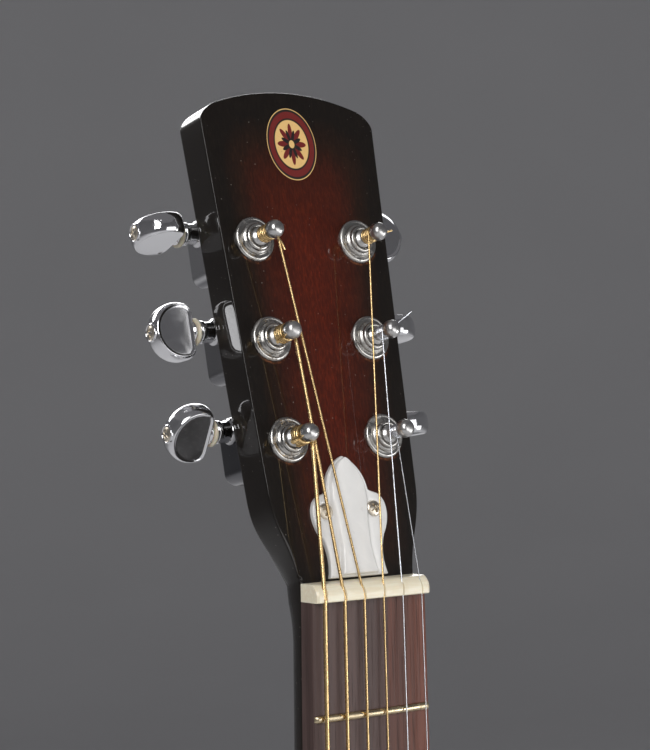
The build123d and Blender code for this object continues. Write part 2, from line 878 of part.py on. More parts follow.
with BuildPart() as soundboard:
    add(plate(outline_inside_binding, body_front, top_thickness))
    with BuildSketch(front_sketch_plane(body_front - 1)):
        with Locations((0, bridge_z)):
            Circle(well_radius)
        with Locations(*sound_holes):
            Circle(sound_hole_radius)
    extrude(amount=-10, mode=Mode.SUBTRACT)
keep(soundboard.part, "soundboard")
keep(plate(outline_inside_binding, inner_back, back_thickness), "back_plate")
binding_walls = [
    wall(outline, outline_inside_binding, body_front, inner_top),
    wall(outline, outline_inside_binding, inner_back, body_back),
]
keep(Compound(children=binding_walls), "binding")

with BuildPart() as sides:
    add(wall(outline, outline_inside_sides, inner_top, inner_back))
    with BuildSketch(front_sketch_plane(inner_top - 1)):
        with Locations((0, body_top)):
            Rectangle(tenon_width + 0.2, 20)
    extrude(amount=-(tenon_bottom - inner_top + 1.2), mode=Mode.SUBTRACT)
    with BuildSketch(Plane.XY.offset(body_end - 1)):
        with Locations((0, (body_front + body_back) / 2)):
            Circle(end_pin_radius + 0.1)
    extrude(amount=20, mode=Mode.SUBTRACT)
keep(sides.part, "sides")

with BuildPart() as neck_block:
    add(plate(outline_inside_sides, inner_top, inner_back - inner_top))
    with BuildSketch(front_sketch_plane(inner_top)):
        with Locations((0, body_top - neck_block_depth / 2)):
            Rectangle(2 * block_half_width, neck_block_depth)
    extrude(amount=-(inner_back - inner_top), mode=Mode.INTERSECT)
    with BuildSketch(front_sketch_plane(inner_top - 1)):
        with Locations((0, body_top)):
            Rectangle(tenon_width + 0.1, 2 * tenon_length + 0.1)
    extrude(amount=-(tenon_bottom - inner_top + 1.1), mode=Mode.SUBTRACT)
with BuildPart() as tail_block:
    add(plate(outline_inside_sides, inner_top, inner_back - inner_top))
    with BuildSketch(front_sketch_plane(inner_top)):
        with Locations((0, body_end + tail_block_depth / 2)):
            Rectangle(tail_block_width, tail_block_depth)
    extrude(amount=-(inner_back - inner_top), mode=Mode.INTERSECT)
    with BuildSketch(Plane.XY.offset(body_end - 1)):
        with Locations((0, (body_front + body_back) / 2)):
            Circle(end_pin_radius + 0.1)
    extrude(amount=40, mode=Mode.SUBTRACT)
keep(Compound(children=[neck_block.part, tail_block.part]), "end_blocks")

with BuildPart() as block_space:
    with BuildSketch(front_sketch_plane(0)):
        with Locations((0, body_top - neck_block_depth / 2)):
            Rectangle(2 * block_half_width + 0.2, neck_block_depth + 0.2)
        with Locations((0, body_end + tail_block_depth / 2)):
            Rectangle(tail_block_width + 0.2, tail_block_depth + 0.2)
    extrude(amount=-120)
with BuildPart() as linings:
    add(wall(outline_inside_sides, outline_inside_lining, inner_top, inner_top + lining_height))
    add(wall(outline_inside_sides, outline_inside_lining, inner_back - lining_height, inner_back))
    add(block_space.part, mode=Mode.SUBTRACT)
keep(linings.part, "linings")

brace_rows = (
    (inner_back - brace_height, body_top - 66),
    (inner_back - brace_height, body_top - 130),
    (inner_top, body_top - 136),
)
with BuildPart() as braces:
    for start, z in brace_rows:
        with BuildSketch(front_sketch_plane(start)):
            with Locations((0, z)):
                Rectangle(brace_length, brace_width)
        extrude(amount=-brace_height)
    with BuildSketch(front_sketch_plane(inner_top)):
        add(outline_inside_lining)
    extrude(amount=-(inner_back - inner_top), mode=Mode.INTERSECT)
keep(braces.part, "braces")

# ---- soundwell, cone, spider, saddles and tension screw ----
window_radius = 18.0
cone_thickness = 0.8
rim_width = 6.0
apex_y = 40.0
spider_top = 5.0
spider_leg_radius = cone_radius - 5.0
saddle_thickness = 3.2
saddle_slot_depth = 5.0
screw_radius = 2.0
spoke_count = 8
ledge_thickness = 6.0
ledge_radius = cone_radius - rim_width + 0.6
spider_arm_half = 3.0
spider_hub_radius = 15.0
spider_bar = 14.0
screw_head_radius = 3.2


def spoke(k):
    """Direction of one of the even spokes, half a step off the strings' line."""
    return Vector(1, 0, 0).rotate(Axis.Y, (k + 0.5) * 360 / spoke_count)


def turned(points):
    """A solid turned about the resonator's axis from its outline in radius and depth."""
    with BuildPart() as made:
        with BuildSketch(Plane.XY.offset(bridge_z)):
            with BuildLine():
                Polyline(*points, close=True)
            make_face()
        revolve(axis=bridge_axis)
    return made.part


with BuildPart() as soundwell:
    add(
        turned(
            [
                (well_radius, inner_top),
                (well_radius + well_wall, inner_top),
                (well_radius + well_wall, inner_back),
                (well_radius, inner_back),
                (well_radius, well_ledge + ledge_thickness),
                (ledge_radius, well_ledge + ledge_thickness),
                (ledge_radius, well_ledge),
                (well_radius, well_ledge),
            ]
        )
    )
    for k in range(spoke_count):
        direction = spoke(k)
        with BuildSketch(Plane((0, 60, bridge_z), x_dir=(0, 1, 0), z_dir=direction)):
            Circle(window_radius)
        extrude(amount=200, mode=Mode.SUBTRACT)
keep(soundwell.part, "soundwell")

rim_y = well_ledge - cone_thickness
keep(
    turned(
        [
            (cone_radius, rim_y),
            (cone_radius, well_ledge),
            (cone_radius - rim_width, well_ledge),
            (46, 62.8),
            (40, 62.8),
            (8, apex_y + cone_thickness),
            (screw_radius + 0.1, apex_y + cone_thickness),
            (screw_radius + 0.1, apex_y),
            (8.2, apex_y),
            (40.2, 62),
            (45.8, 62),
            (cone_radius - rim_width, rim_y),
        ]
    ),
    "resonator_cone",
)

with BuildPart() as spider_bridge:
    for k in range(spoke_count):
        direction = spoke(k)
        across = direction.cross(Vector(0, 1, 0))
        with BuildSketch(Plane((0, 0, bridge_z), x_dir=direction, z_dir=across)):
            Polygon(
                (4, 9),
                (40, 9),
                (spider_leg_radius - 2, 17),
                (spider_leg_radius + 2, 18),
                (spider_leg_radius + 2, rim_y),
                (spider_leg_radius - 2, rim_y),
                (spider_leg_radius - 3, 21),
                (40, spider_bar),
                (4, spider_bar),
                align=None,
            )
        extrude(amount=spider_arm_half, both=True)
    with BuildSketch(front_sketch_plane(spider_bar)):
        with Locations((0, bridge_z)):
            Circle(spider_hub_radius)
    extrude(amount=5)
    with BuildSketch(front_sketch_plane(spider_bar)):
        with Locations((0, bridge_z)):
            RectangleRounded(76, 10, 3)
    extrude(amount=spider_bar - spider_top)
    with BuildSketch(front_sketch_plane(spider_top - 1)):
        with Locations((0, bridge_z)):
            Rectangle(68, saddle_thickness + 0.1)
    extrude(amount=-(saddle_slot_depth + 1), mode=Mode.SUBTRACT)
    with BuildSketch(front_sketch_plane(0)):
        with Locations((0, bridge_z)):
            Circle(screw_radius + 0.1)
    extrude(amount=-20, mode=Mode.SUBTRACT)
    with BuildSketch(front_sketch_plane(0)):
        with Locations((0, bridge_z)):
            Circle(screw_head_radius + 0.15)
    extrude(amount=-spider_top - saddle_slot_depth, mode=Mode.SUBTRACT)
keep(spider_bridge.part, "spider_bridge")

with BuildPart() as saddles:
    with BuildSketch(front_sketch_plane(spider_top + saddle_slot_depth)):
        with Locations((-18.5, bridge_z), (18.5, bridge_z)):
            Rectangle(30, saddle_thickness)
    extrude(amount=spider_top + saddle_slot_depth - saddle_top - 0.12)
keep(saddles.part, "saddles")

with BuildPart() as tension_screw:
    with BuildSketch(front_sketch_plane(spider_top + saddle_slot_depth - 2.6)):
        with Locations((0, bridge_z)):
            Circle(screw_head_radius)
            Rectangle(8, 0.9, mode=Mode.SUBTRACT)
    extrude(amount=-2.5)
    with BuildSketch(front_sketch_plane(spider_top + saddle_slot_depth - 0.5)):
        with Locations((0, bridge_z)):
            Circle(screw_radius)
    extrude(amount=-(apex_y + 4 - spider_top - saddle_slot_depth))
    with BuildSketch(front_sketch_plane(apex_y + cone_thickness)):
        with Locations((0, bridge_z)):
            RegularPolygon(4.2, 6)
            Circle(screw_radius - 0.1, mode=Mode.SUBTRACT)
    extrude(amount=-2.6)
keep(tension_screw.part, "tension_screw")

# ---- cover plate, palm rest, sound hole screens ----
cover_sheet = 1.0
cover_shelf = 64.0
cover_dome = 132.0
slot_ring = (80.0, 120.0)
slot_count = 32
slot_width = 6.0
opening_width = 84.0
opening_height = 26.0
cover_screw_circle = 138.0
cover_screw_count = 12
cover_screw_turn = 180 / cover_screw_count
screw_hole_radius = 1.5
rest_half = 50.0
rest_foot = rest_half + 7.0
rest_sheet = 1.2
with BuildPart() as cover_plate:
    add(
        turned(
            [
                (0, cover_top),
                (cover_shelf, cover_top),
                (cover_dome, body_front - cover_sheet),
                (cover_radius, body_front - cover_sheet),
                (cover_radius, body_front),
                (cover_dome, body_front),
                (cover_shelf, cover_top + cover_sheet),
                (0, cover_top + cover_sheet),
            ]
        )
    )
    with BuildSketch(facing_player(0, 0, bridge_z)):
        RectangleRounded(opening_width, opening_height, 5)
        with PolarLocations(sum(slot_ring) / 2, slot_count):
            SlotOverall(slot_ring[1] - slot_ring[0], slot_width)
        with PolarLocations(cover_screw_circle, cover_screw_count, start_angle=cover_screw_turn):
            Circle(screw_hole_radius)
        with Locations((-rest_foot, 0), (rest_foot, 0)):
            Circle(screw_hole_radius)
    extrude(amount=40, both=True, mode=Mode.SUBTRACT)
keep(cover_plate.part, "cover_plate")

rest_top = saddle_top - 10.0
rest_width = 40.0
with BuildPart() as palm_rest:
    with BuildSketch(Plane.XY.offset(bridge_z - rest_width / 2)):
        with BuildLine():
            foot_y = cover_top - rest_sheet / 2
            bar_y = rest_top + rest_sheet / 2
            strap = FilletPolyline(
                (-rest_half - 11, foot_y),
                (-rest_half, foot_y),
                (-rest_half + 4, bar_y),
                (rest_half - 4, bar_y),
                (rest_half, foot_y),
                (rest_half + 11, foot_y),
                radius=[1.5, 8, 8, 1.5],
            )
            offset(strap, amount=rest_sheet / 2)
        make_face()
    extrude(amount=rest_width)
    with BuildSketch(front_sketch_plane(cover_top + 1)):
        with Locations((-rest_foot, bridge_z), (rest_foot, bridge_z)):
            Circle(screw_hole_radius)
    extrude(amount=5, mode=Mode.SUBTRACT)
keep(palm_rest.part, "palm_rest")

ring_overlap = 4.5
ring_inset = 2.0
ring_thickness = 1.2
with BuildPart() as sound_hole_screens:
    for place in sound_holes:
        with BuildSketch(front_sketch_plane(body_front)):
            with Locations(place):
                Circle(sound_hole_radius + ring_overlap)
                Circle(sound_hole_radius - ring_inset, mode=Mode.SUBTRACT)
        extrude(amount=ring_thickness)
        with BuildSketch(front_sketch_plane(body_front)):
            with Locations(place):
                Circle(sound_hole_radius - 0.2)
        extrude(amount=-0.6)
        with BuildSketch(front_sketch_plane(body_front)):
            with Locations(place):
                Circle(sound_hole_radius - ring_inset + 0.1)
        extrude(amount=0.3)
keep(sound_hole_screens.part, "sound_hole_screens")

# ---- tailpiece, strap buttons and wood screws ----
tail_sheet = 1.5
tail_front_half = 33.0
tail_end_half = 14.0
string_notch_width = 2.2
string_notch_length = 8.6
tail_top_y = ball_y + ball_radius + 0.5
tab_z = body_end - 1.0
tab_end_y = (body_front + body_back) / 2 + 12
with BuildPart() as tailpiece:
    with BuildSketch(Plane.YZ):
        with BuildLine():
            tail_line = FilletPolyline(
                (tail_top_y - 5.4, lip_z - tail_sheet / 2),
                (tail_top_y + tail_sheet / 2, lip_z - tail_sheet / 2),
                (body_front - 2.2, body_end + 12),
                (body_front - 2.2, tab_z),
                (tab_end_y, tab_z),
                radius=[0.8, 12, 0.9],
            )
            offset(tail_line, amount=tail_sheet / 2)
        make_face()
    extrude(amount=tail_front_half, both=True)
    with BuildSketch(front_sketch_plane(-20)):
        Polygon(
            (-tail_front_half, lip_z + 10),
            (tail_front_half, lip_z + 10),
            (tail_front_half, lip_z - 12),
            (tail_end_half, body_end + 14),
            (tail_end_half, tab_z - 5),
            (-tail_end_half, tab_z - 5),
            (-tail_end_half, body_end + 14),
            (-tail_front_half, lip_z - 12),
            align=None,
        )
    extrude(amount=-120, mode=Mode.INTERSECT)
    for number in posts:
        with BuildSketch(Plane.XY.offset(lip_z - 4)):
            with Locations((string_x(number, saddle_spread), ball_y - 3.5)):
                RectangleRounded(string_notch_width, string_notch_length, 1.0)
        extrude(amount=8, mode=Mode.SUBTRACT)
    with BuildSketch(Plane.XY.offset(body_end - 10)):
        with Locations((0, (body_front + body_back) / 2)):
            Circle(end_pin_radius + 0.1)
    extrude(amount=20, mode=Mode.SUBTRACT)
keep(tailpiece.part, "tailpiece")

strap_neck_radius = 4.0
strap_neck_length = 6.0


def strap_button(base, direction):
    """Strap button with a waist of known radius, and the pin that holds it in the wood."""
    across = Vector(1, 0, 0)
    with BuildPart() as button:
        with BuildSketch(Plane(base, x_dir=across, z_dir=across.cross(direction))):
            with BuildLine():
                Polyline(
                    (0, -18),
                    (end_pin_radius, -18),
                    (end_pin_radius, 0),
                    (6.5, 0),
                    (6.5, 1.5),
                    (strap_neck_radius, 2.5),
                    (strap_neck_radius, 2.5 + strap_neck_length),
                    (7.2, 10.5),
                    (7.2, 12.5),
                    (5.5, 14),
                    (0, 14),
                    close=True,
                )
            make_face()
        revolve(axis=Axis(base, direction))
    return button.part


end_button = strap_button(Vector(0, (body_front + body_back) / 2, tab_z - 0.76), Vector(0, 0, -1))
heel_button = strap_button(Vector(0, heel_cap, body_top + heel_button_rise), Vector(0, 1, 0))
keep(Compound(children=[end_button, heel_button]), "strap_buttons")


def wood_screw(plane, head_radius, shank_radius, length):
    """Oval-headed screw whose shank bites into the wood; the plane is under its head, facing out."""
    with BuildPart() as screw:
        with BuildSketch(plane):
            Circle(head_radius)
        extrude(amount=0.9, taper=30)
        with BuildSketch(plane):
            Circle(shank_radius)
        extrude(amount=-length)
    return screw.part


screws = []
for side in (-1, 1):
    place = on_head(side * cover_screw_place[0], cover_screw_place[1], cover_plate_thickness)
    seat = Plane(place, x_dir=(1, 0, 0), z_dir=head_normal)
    screws.append(wood_screw(seat, 2.5, cover_screw_radius, 9))
for number in posts:
    x, s = post_place(number)
    place = on_head(x, s + case_low - lug_drop, -head_thickness - lug_thickness)
    seat = Plane(place, x_dir=(1, 0, 0), z_dir=-head_normal)
    screws.append(wood_screw(seat, 2.4, 1.2, 9))
for k in range(cover_screw_count):
    angle = radians(cover_screw_turn + k * 360 / cover_screw_count)
    x = cover_screw_circle * cos(angle)
    z = bridge_z + cover_screw_circle * sin(angle)
    screws.append(wood_screw(facing_player(x, body_front - cover_sheet, z), 3.0, 1.4, 14))
for side in (-1, 1):
    seat = facing_player(side * rest_foot, cover_top - rest_sheet, bridge_z)
    screws.append(wood_screw(seat, 2.8, 1.4, 4))
keep(Compound(children=screws), "wood_screws")
print(len(pieces), "nodes written")
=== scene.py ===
import json
import math

import bmesh
import bpy
import numpy as np
from mathutils import Matrix, Vector


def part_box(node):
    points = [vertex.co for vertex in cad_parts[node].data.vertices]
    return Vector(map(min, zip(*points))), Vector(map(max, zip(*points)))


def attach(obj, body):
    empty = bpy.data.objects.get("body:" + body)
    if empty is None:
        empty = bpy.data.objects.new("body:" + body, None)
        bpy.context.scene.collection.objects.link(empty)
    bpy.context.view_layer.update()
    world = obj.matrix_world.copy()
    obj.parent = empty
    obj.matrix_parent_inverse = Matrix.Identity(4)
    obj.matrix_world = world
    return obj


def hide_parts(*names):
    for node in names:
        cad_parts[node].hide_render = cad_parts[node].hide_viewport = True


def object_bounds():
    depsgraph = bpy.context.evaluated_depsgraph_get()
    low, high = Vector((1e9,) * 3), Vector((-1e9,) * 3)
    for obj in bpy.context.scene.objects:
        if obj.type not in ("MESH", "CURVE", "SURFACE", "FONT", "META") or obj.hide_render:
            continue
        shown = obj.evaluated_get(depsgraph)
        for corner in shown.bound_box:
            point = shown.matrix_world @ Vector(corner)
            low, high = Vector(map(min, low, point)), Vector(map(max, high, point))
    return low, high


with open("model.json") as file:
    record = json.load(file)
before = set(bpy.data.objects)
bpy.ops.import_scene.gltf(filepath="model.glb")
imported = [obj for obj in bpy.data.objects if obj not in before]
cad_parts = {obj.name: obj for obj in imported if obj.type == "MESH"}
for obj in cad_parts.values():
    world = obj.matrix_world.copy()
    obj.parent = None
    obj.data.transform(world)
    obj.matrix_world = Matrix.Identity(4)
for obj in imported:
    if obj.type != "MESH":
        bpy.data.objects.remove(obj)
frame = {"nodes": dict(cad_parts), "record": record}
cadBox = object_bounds()

# Lengths below are millimetres; makePiece turns them into metres.
mm = 0.001
joints = {joint["name"]: joint for joint in frame["record"]["behaviour"]["joints"]}
strings = (1, 2, 3, 4, 5, 6)


def boxOf(node):
    low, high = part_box(node)
    return np.array(low) / mm, np.array(high) / mm


# The headstock's own directions: across (x), up it (s) and out of its face (n).
headNormal = np.array(joints["post_turn_1"]["axis"], float)
headUp = np.array([0.0, headNormal[2], -headNormal[1]])
nutLow, nutHigh = boxOf("nut")
boardLow, boardHigh = boxOf("fingerboard")
headOrigin = np.array([0.0, nutHigh[1], nutHigh[2]])
right = np.array([1.0, 0.0, 0.0])
back = np.array([0.0, 1.0, 0.0])
upward = np.array([0.0, 0.0, 1.0])


def onHead(x, s, n):
    x, s, n = np.broadcast_arrays(np.asarray(x, float), s, n)
    return headOrigin + x[..., None] * right + s[..., None] * headUp + n[..., None] * headNormal


def headPlace(point):
    away = np.array(point) / mm - headOrigin
    return away[0], away @ headUp, away @ headNormal


posts = {}
for number in strings:
    across, along, _ = headPlace(joints[f"post_turn_{number}"]["pos_m"])
    _, wormAlong, wormDepth = headPlace(joints[f"button_turn_{number}"]["pos_m"])
    posts[number] = {
        "side": math.copysign(1, across),
        "x": across,
        "s": along,
        "wormS": wormAlong,
        "wormN": wormDepth,
        "post": f"post_{number}",
        "button": f"button_{number}",
    }

viewpoint = {
    "turn": 35.877,
    "roll": -1.245,
    "pitch": 0.015,
    "distance": 666.0,
    "target": (-16.0, 0.0, 69.6),
    "lens": 104.35,
}


def makeCamera():
    turn = math.radians(viewpoint["turn"])
    pitch = math.radians(viewpoint["pitch"])
    forward = Vector(
        (math.sin(turn) * math.cos(pitch), math.cos(turn) * math.cos(pitch), -math.sin(pitch))
    )
    data = bpy.data.cameras.new("camera")
    data.lens = viewpoint["lens"]
    data.sensor_width = 36
    data.clip_start = 0.02
    camera = bpy.data.objects.new("camera", data)
    bpy.context.scene.collection.objects.link(camera)
    camera.location = (Vector(viewpoint["target"]) - forward * viewpoint["distance"]) * mm
    looking = forward.to_track_quat("-Z", "Y").to_matrix()
    rolled = looking @ Matrix.Rotation(math.radians(viewpoint["roll"]), 3, "Z")
    camera.rotation_euler = rolled.to_euler()
    bpy.context.scene.camera = camera


lights = {
    "key": {"at": (-1.5, -1.7, 1.25), "size": (0.9, 1.4), "power": 40, "aim": (0, 0, -0.05)},
    "front": {"at": (0.9, -3.2, -0.2), "size": (2.2, 2.2), "power": 30, "aim": (0, 0, -0.4)},
    "overBack": {"at": (-0.35, 1.7, 1.2), "size": (1.5, 0.6), "power": 20, "aim": (0, 0, 0.1)},
    "low": {"at": (1.7, -1.5, -0.55), "size": (0.8, 1.0), "power": 14, "aim": (0, 0, -0.1)},
    "behind": {"at": (1.4, 2.4, 1.2), "size": (1.4, 1.4), "power": 30, "aim": (0, 0, -0.4)},
}


def makeLights():
    for name, lamp in lights.items():
        data = bpy.data.lights.new(name, "AREA")
        data.shape = "RECTANGLE"
        data.size, data.size_y = lamp["size"]
        data.energy = lamp["power"]
        light = bpy.data.objects.new(name, data)
        bpy.context.scene.collection.objects.link(light)
        light.location = lamp["at"]
        aim = Vector(lamp["aim"]) - Vector(lamp["at"])
        light.rotation_euler = aim.to_track_quat("-Z", "Y").to_euler()
    world = bpy.data.worlds.new("studio")
    world.use_nodes = True
    world.node_tree.nodes["Background"].inputs["Color"].default_value = (0.36, 0.355, 0.37, 1)
    world.node_tree.nodes["Background"].inputs["Strength"].default_value = 0.42
    bpy.context.scene.world = world
    bpy.context.scene.view_settings.view_transform = "Standard"


# Rows of points joined by quads; closed joins each row's end to its start.
def shell(points, closed=True, uv=None, flip=False):
    rows, count = points.shape[:2]
    row = np.arange(rows - 1)[:, None]
    column = np.arange(count if closed else count - 1)[None, :]
    following = (column + 1) % count
    quads = np.stack(
        [
            row * count + column,
            row * count + following,
            (row + 1) * count + following,
            (row + 1) * count + column,
        ],
        -1,
    ).reshape(-1, 4)
    if uv is None:
        lengthwise = np.linspace(0, 1, rows)
        around = np.linspace(0, 1, count + 1 if closed else count)
    else:
        around, lengthwise = uv
    u = np.stack([around[column], around[column + 1], around[column + 1], around[column]], -1)
    v = np.stack([lengthwise[row], lengthwise[row], lengthwise[row + 1], lengthwise[row + 1]], -1)
    shape = (rows - 1, column.size, 4)
    corners = np.stack([np.broadcast_to(u, shape), np.broadcast_to(v, shape)], -1).reshape(-1, 2)
    if flip:
        quads = quads[:, ::-1]
        corners = corners.reshape(-1, 4, 2)[:, ::-1].reshape(-1, 2)
    return points.reshape(-1, 3), quads, corners


# Join shells into one mesh in metres, close its seams, point its faces out and let it ride.
def makePiece(name, shells, finish, body="root", replaces=(), crease=38.0):
    starts = np.cumsum([0] + [len(part[0]) for part in shells])
    points = np.concatenate([part[0] for part in shells]) * mm
    quads = np.concatenate([part[1] + start for part, start in zip(shells, starts)])
    corners = np.concatenate([part[2] for part in shells])
    mesh = bpy.data.meshes.new(name)
    mesh.from_pydata(points, [], quads)
    mesh.uv_layers.new(name="along")
    mesh.uv_layers["along"].data.foreach_set("uv", corners.astype(np.float32).ravel())
    work = bmesh.new()
    work.from_mesh(mesh)
    bmesh.ops.remove_doubles(work, verts=work.verts, dist=2e-7)
    bmesh.ops.dissolve_degenerate(work, dist=1e-7, edges=work.edges)
    bmesh.ops.recalc_face_normals(work, faces=work.faces)
    work.to_mesh(mesh)
    work.free()
    mesh.polygons.foreach_set("use_smooth", np.ones(len(mesh.polygons), bool))
    mesh.set_sharp_from_angle(angle=math.radians(crease))
    for material in finish if isinstance(finish, (list, tuple)) else [finish]:
        mesh.materials.append(material)
    made = bpy.data.objects.new(name, mesh)
    bpy.context.scene.collection.objects.link(made)
    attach(made, body)
    if replaces:
        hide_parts(*replaces)
    return made


# A profile through corners (a, b, radius), each corner a quadratic curve between two cut points.
def rounded(corners, steps=4):
    corners = [np.array(corner[:2], float) if len(corner) == 2 else corner for corner in corners]
    points = [np.array(corner[:2], float) for corner in corners]
    path = [points[0]]
    share = np.linspace(0, 1, steps + 1)[:, None]
    for index in range(1, len(points) - 1):
        here = points[index]
        radius = corners[index][2] if len(corners[index]) > 2 else 0
        if not radius:
            path.append(here)
            continue
        before, after = points[index - 1] - here, points[index + 1] - here
        start = here + before / np.linalg.norm(before) * radius
        end = here + after / np.linalg.norm(after) * radius
        path.extend((1 - share) ** 2 * start + 2 * share * (1 - share) * here + share**2 * end)
    path.append(points[-1])
    return np.array(path)


# Points on a cubic curve from its four control points.
def bezier(points, count):
    a, b, c, d = (np.array(point, float) for point in points)
    t = np.linspace(0, 1, count)[:, None]
    return (1 - t) ** 3 * a + 3 * t * (1 - t) ** 2 * b + 3 * t**2 * (1 - t) * c + t**3 * d


# A profile of (radius, height) carried round an axis; squeeze scales the radius by angle and row.
def turned(profile, centre, axis, side=None, sides=64, squeeze=None):
    axis = np.asarray(axis, float) / np.linalg.norm(axis)
    side = right if side is None else np.asarray(side, float)
    other = np.cross(axis, side)
    angle = np.arange(sides) * 2 * np.pi / sides
    radius = profile[:, :1] * (np.ones((1, sides)) if squeeze is None else squeeze(angle))
    ring = np.cos(angle)[:, None] * side + np.sin(angle)[:, None] * other
    points = np.asarray(centre, float) + radius[..., None] * ring + profile[:, 1, None, None] * axis
    return shell(points)


# A round section carried along a path; reference picks where the section starts.
def sweep(path, radius, count=12, reference=upward, uv=None):
    forward = np.gradient(path, axis=0)
    forward /= np.linalg.norm(forward, axis=1, keepdims=True)
    sideways = np.cross(forward, reference)
    sideways /= np.linalg.norm(sideways, axis=1, keepdims=True)
    over = np.cross(sideways, forward)
    angle = np.arange(count) * 2 * np.pi / count
    ring = np.cos(angle)[None, :, None] * sideways[:, None] + np.sin(angle)[None, :, None] * over[:, None]
    radius = np.broadcast_to(radius, (len(path), count))
    body = path[:, None] + ring * radius[..., None]
    ends = [np.repeat(path[:1], count, 0)[None], body, np.repeat(path[-1:], count, 0)[None]]
    if uv is not None:
        around, along = uv
        uv = around, np.concatenate([along[:1], along, along[-1:]])
    return shell(np.concatenate(ends), uv=uv)


# Unit normals of a closed outline of (a, b) points that runs anticlockwise.
def outward(outline):
    step = np.roll(outline, -1, 0) - np.roll(outline, 1, 0)
    normal = np.stack([step[:, 1], -step[:, 0]], -1)
    return normal / np.maximum(np.linalg.norm(normal, axis=1, keepdims=True), 1e-9)


# An outline closed at both faces; each row is (how far in, height), then both ends fan to the middle.
def slab(outline, rows, place):
    normal = outward(outline)
    middle = outline.mean(0)
    rings = []
    for inset, height in rows:
        level = np.full((len(outline), 1), height)
        rings.append(np.concatenate([outline - inset * normal, level], 1))
    low = np.concatenate([np.tile(middle, (len(outline), 1)), rings[0][:, 2:]], 1)
    high = np.concatenate([np.tile(middle, (len(outline), 1)), rings[-1][:, 2:]], 1)
    grid = np.stack([low] + rings + [high])
    return shell(place(grid[..., 0], grid[..., 1], grid[..., 2]))


# Rows (inset, height) down a slab's side with a quarter circle at each edge.
def edgeRows(low, high, lowRound, highRound, steps=5):
    quarter = np.linspace(0, np.pi / 2, steps)
    lowPart = [(lowRound * (1 - np.sin(a)), low + lowRound * (1 - np.cos(a))) for a in quarter]
    highPart = [(highRound * (1 - np.cos(a)), high - highRound * (1 - np.sin(a))) for a in quarter]
    return lowPart + highPart


# A closed outline walked in equal steps.
def resample(outline, count):
    loop = np.concatenate([outline, outline[:1]])
    length = np.concatenate([[0], np.cumsum(np.linalg.norm(np.diff(loop, axis=0), axis=1))])
    at = np.arange(count) * length[-1] / count
    return np.stack([np.interp(at, length, loop[:, 0]), np.interp(at, length, loop[:, 1])], -1)


def addNode(tree, kind, values=None, **settings):
    made = tree.nodes.new(kind)
    for key, value in settings.items():
        setattr(made, key, value)
    for key, value in (values or {}).items():
        socket = made.inputs[key]
        if isinstance(value, bpy.types.NodeSocket):
            tree.links.new(value, socket)
        else:
            socket.default_value = value
    return made


def maths(tree, operation, *values):
    made = addNode(tree, "ShaderNodeMath", dict(enumerate(values)), operation=operation)
    return made.outputs[0]


def blendColors(tree, share, first, second, mode="MIX"):
    made = addNode(
        tree, "ShaderNodeMix", {0: share, 6: first, 7: second}, data_type="RGBA", blend_type=mode
    )
    return made.outputs[2]


# A smooth step from first at low to second at high.
def fade(tree, value, low, high, first=0.0, second=1.0):
    made = addNode(
        tree,
        "ShaderNodeMapRange",
        {"Value": value, "From Min": low, "From Max": high, "To Min": first, "To Max": second},
        interpolation_type="SMOOTHSTEP",
    )
    return made.outputs["Result"]


def ramp(tree, value, stops):
    made = addNode(tree, "ShaderNodeValToRGB", {"Fac": value})
    elements = made.color_ramp.elements
    while len(elements) < len(stops):
        elements.new(0.5)
    for element, (position, color) in zip(elements, stops):
        element.position = position
        element.color = (*color, 1)
    return made.outputs["Color"]


def noise(tree, vector, scale, detail=4.0, rough=0.55, distortion=0.0):
    return addNode(
        tree,
        "ShaderNodeTexNoise",
        {"Vector": vector, "Scale": scale, "Detail": detail, "Roughness": rough, "Distortion": distortion},
    ).outputs["Fac"]


def bump(tree, height, distance, strength=1.0, normal=None):
    values = {"Height": height, "Distance": distance, "Strength": strength}
    if normal is not None:
        values["Normal"] = normal
    return addNode(tree, "ShaderNodeBump", values).outputs["Normal"]


def openMaterial(name, **principled):
    material = bpy.data.materials.new(name)
    material.use_nodes = True
    tree = material.node_tree
    shader = tree.nodes["Principled BSDF"]
    for key, value in principled.items():
        shader.inputs[key.replace("_", " ")].default_value = value
    place = addNode(tree, "ShaderNodeTexCoord").outputs["Object"]
    return material, tree, shader, place


def newGroup(name, inputs, outputs):
    group = bpy.data.node_groups.new(name, "ShaderNodeTree")
    for label, kind, value in inputs:
        socket = group.interface.new_socket(label, in_out="INPUT", socket_type=kind)
        if value is not None:
            socket.default_value = value
    for label, kind in outputs:
        group.interface.new_socket(label, in_out="OUTPUT", socket_type=kind)
    return group, group.nodes.new("NodeGroupInput"), group.nodes.new("NodeGroupOutput")


def useGroup(tree, group, **values):
    made = addNode(tree, "ShaderNodeGroup", node_tree=group)
    for key, value in values.items():
        socket = made.inputs[key]
        if isinstance(value, bpy.types.NodeSocket):
            tree.links.new(value, socket)
        else:
            socket.default_value = value
    return made


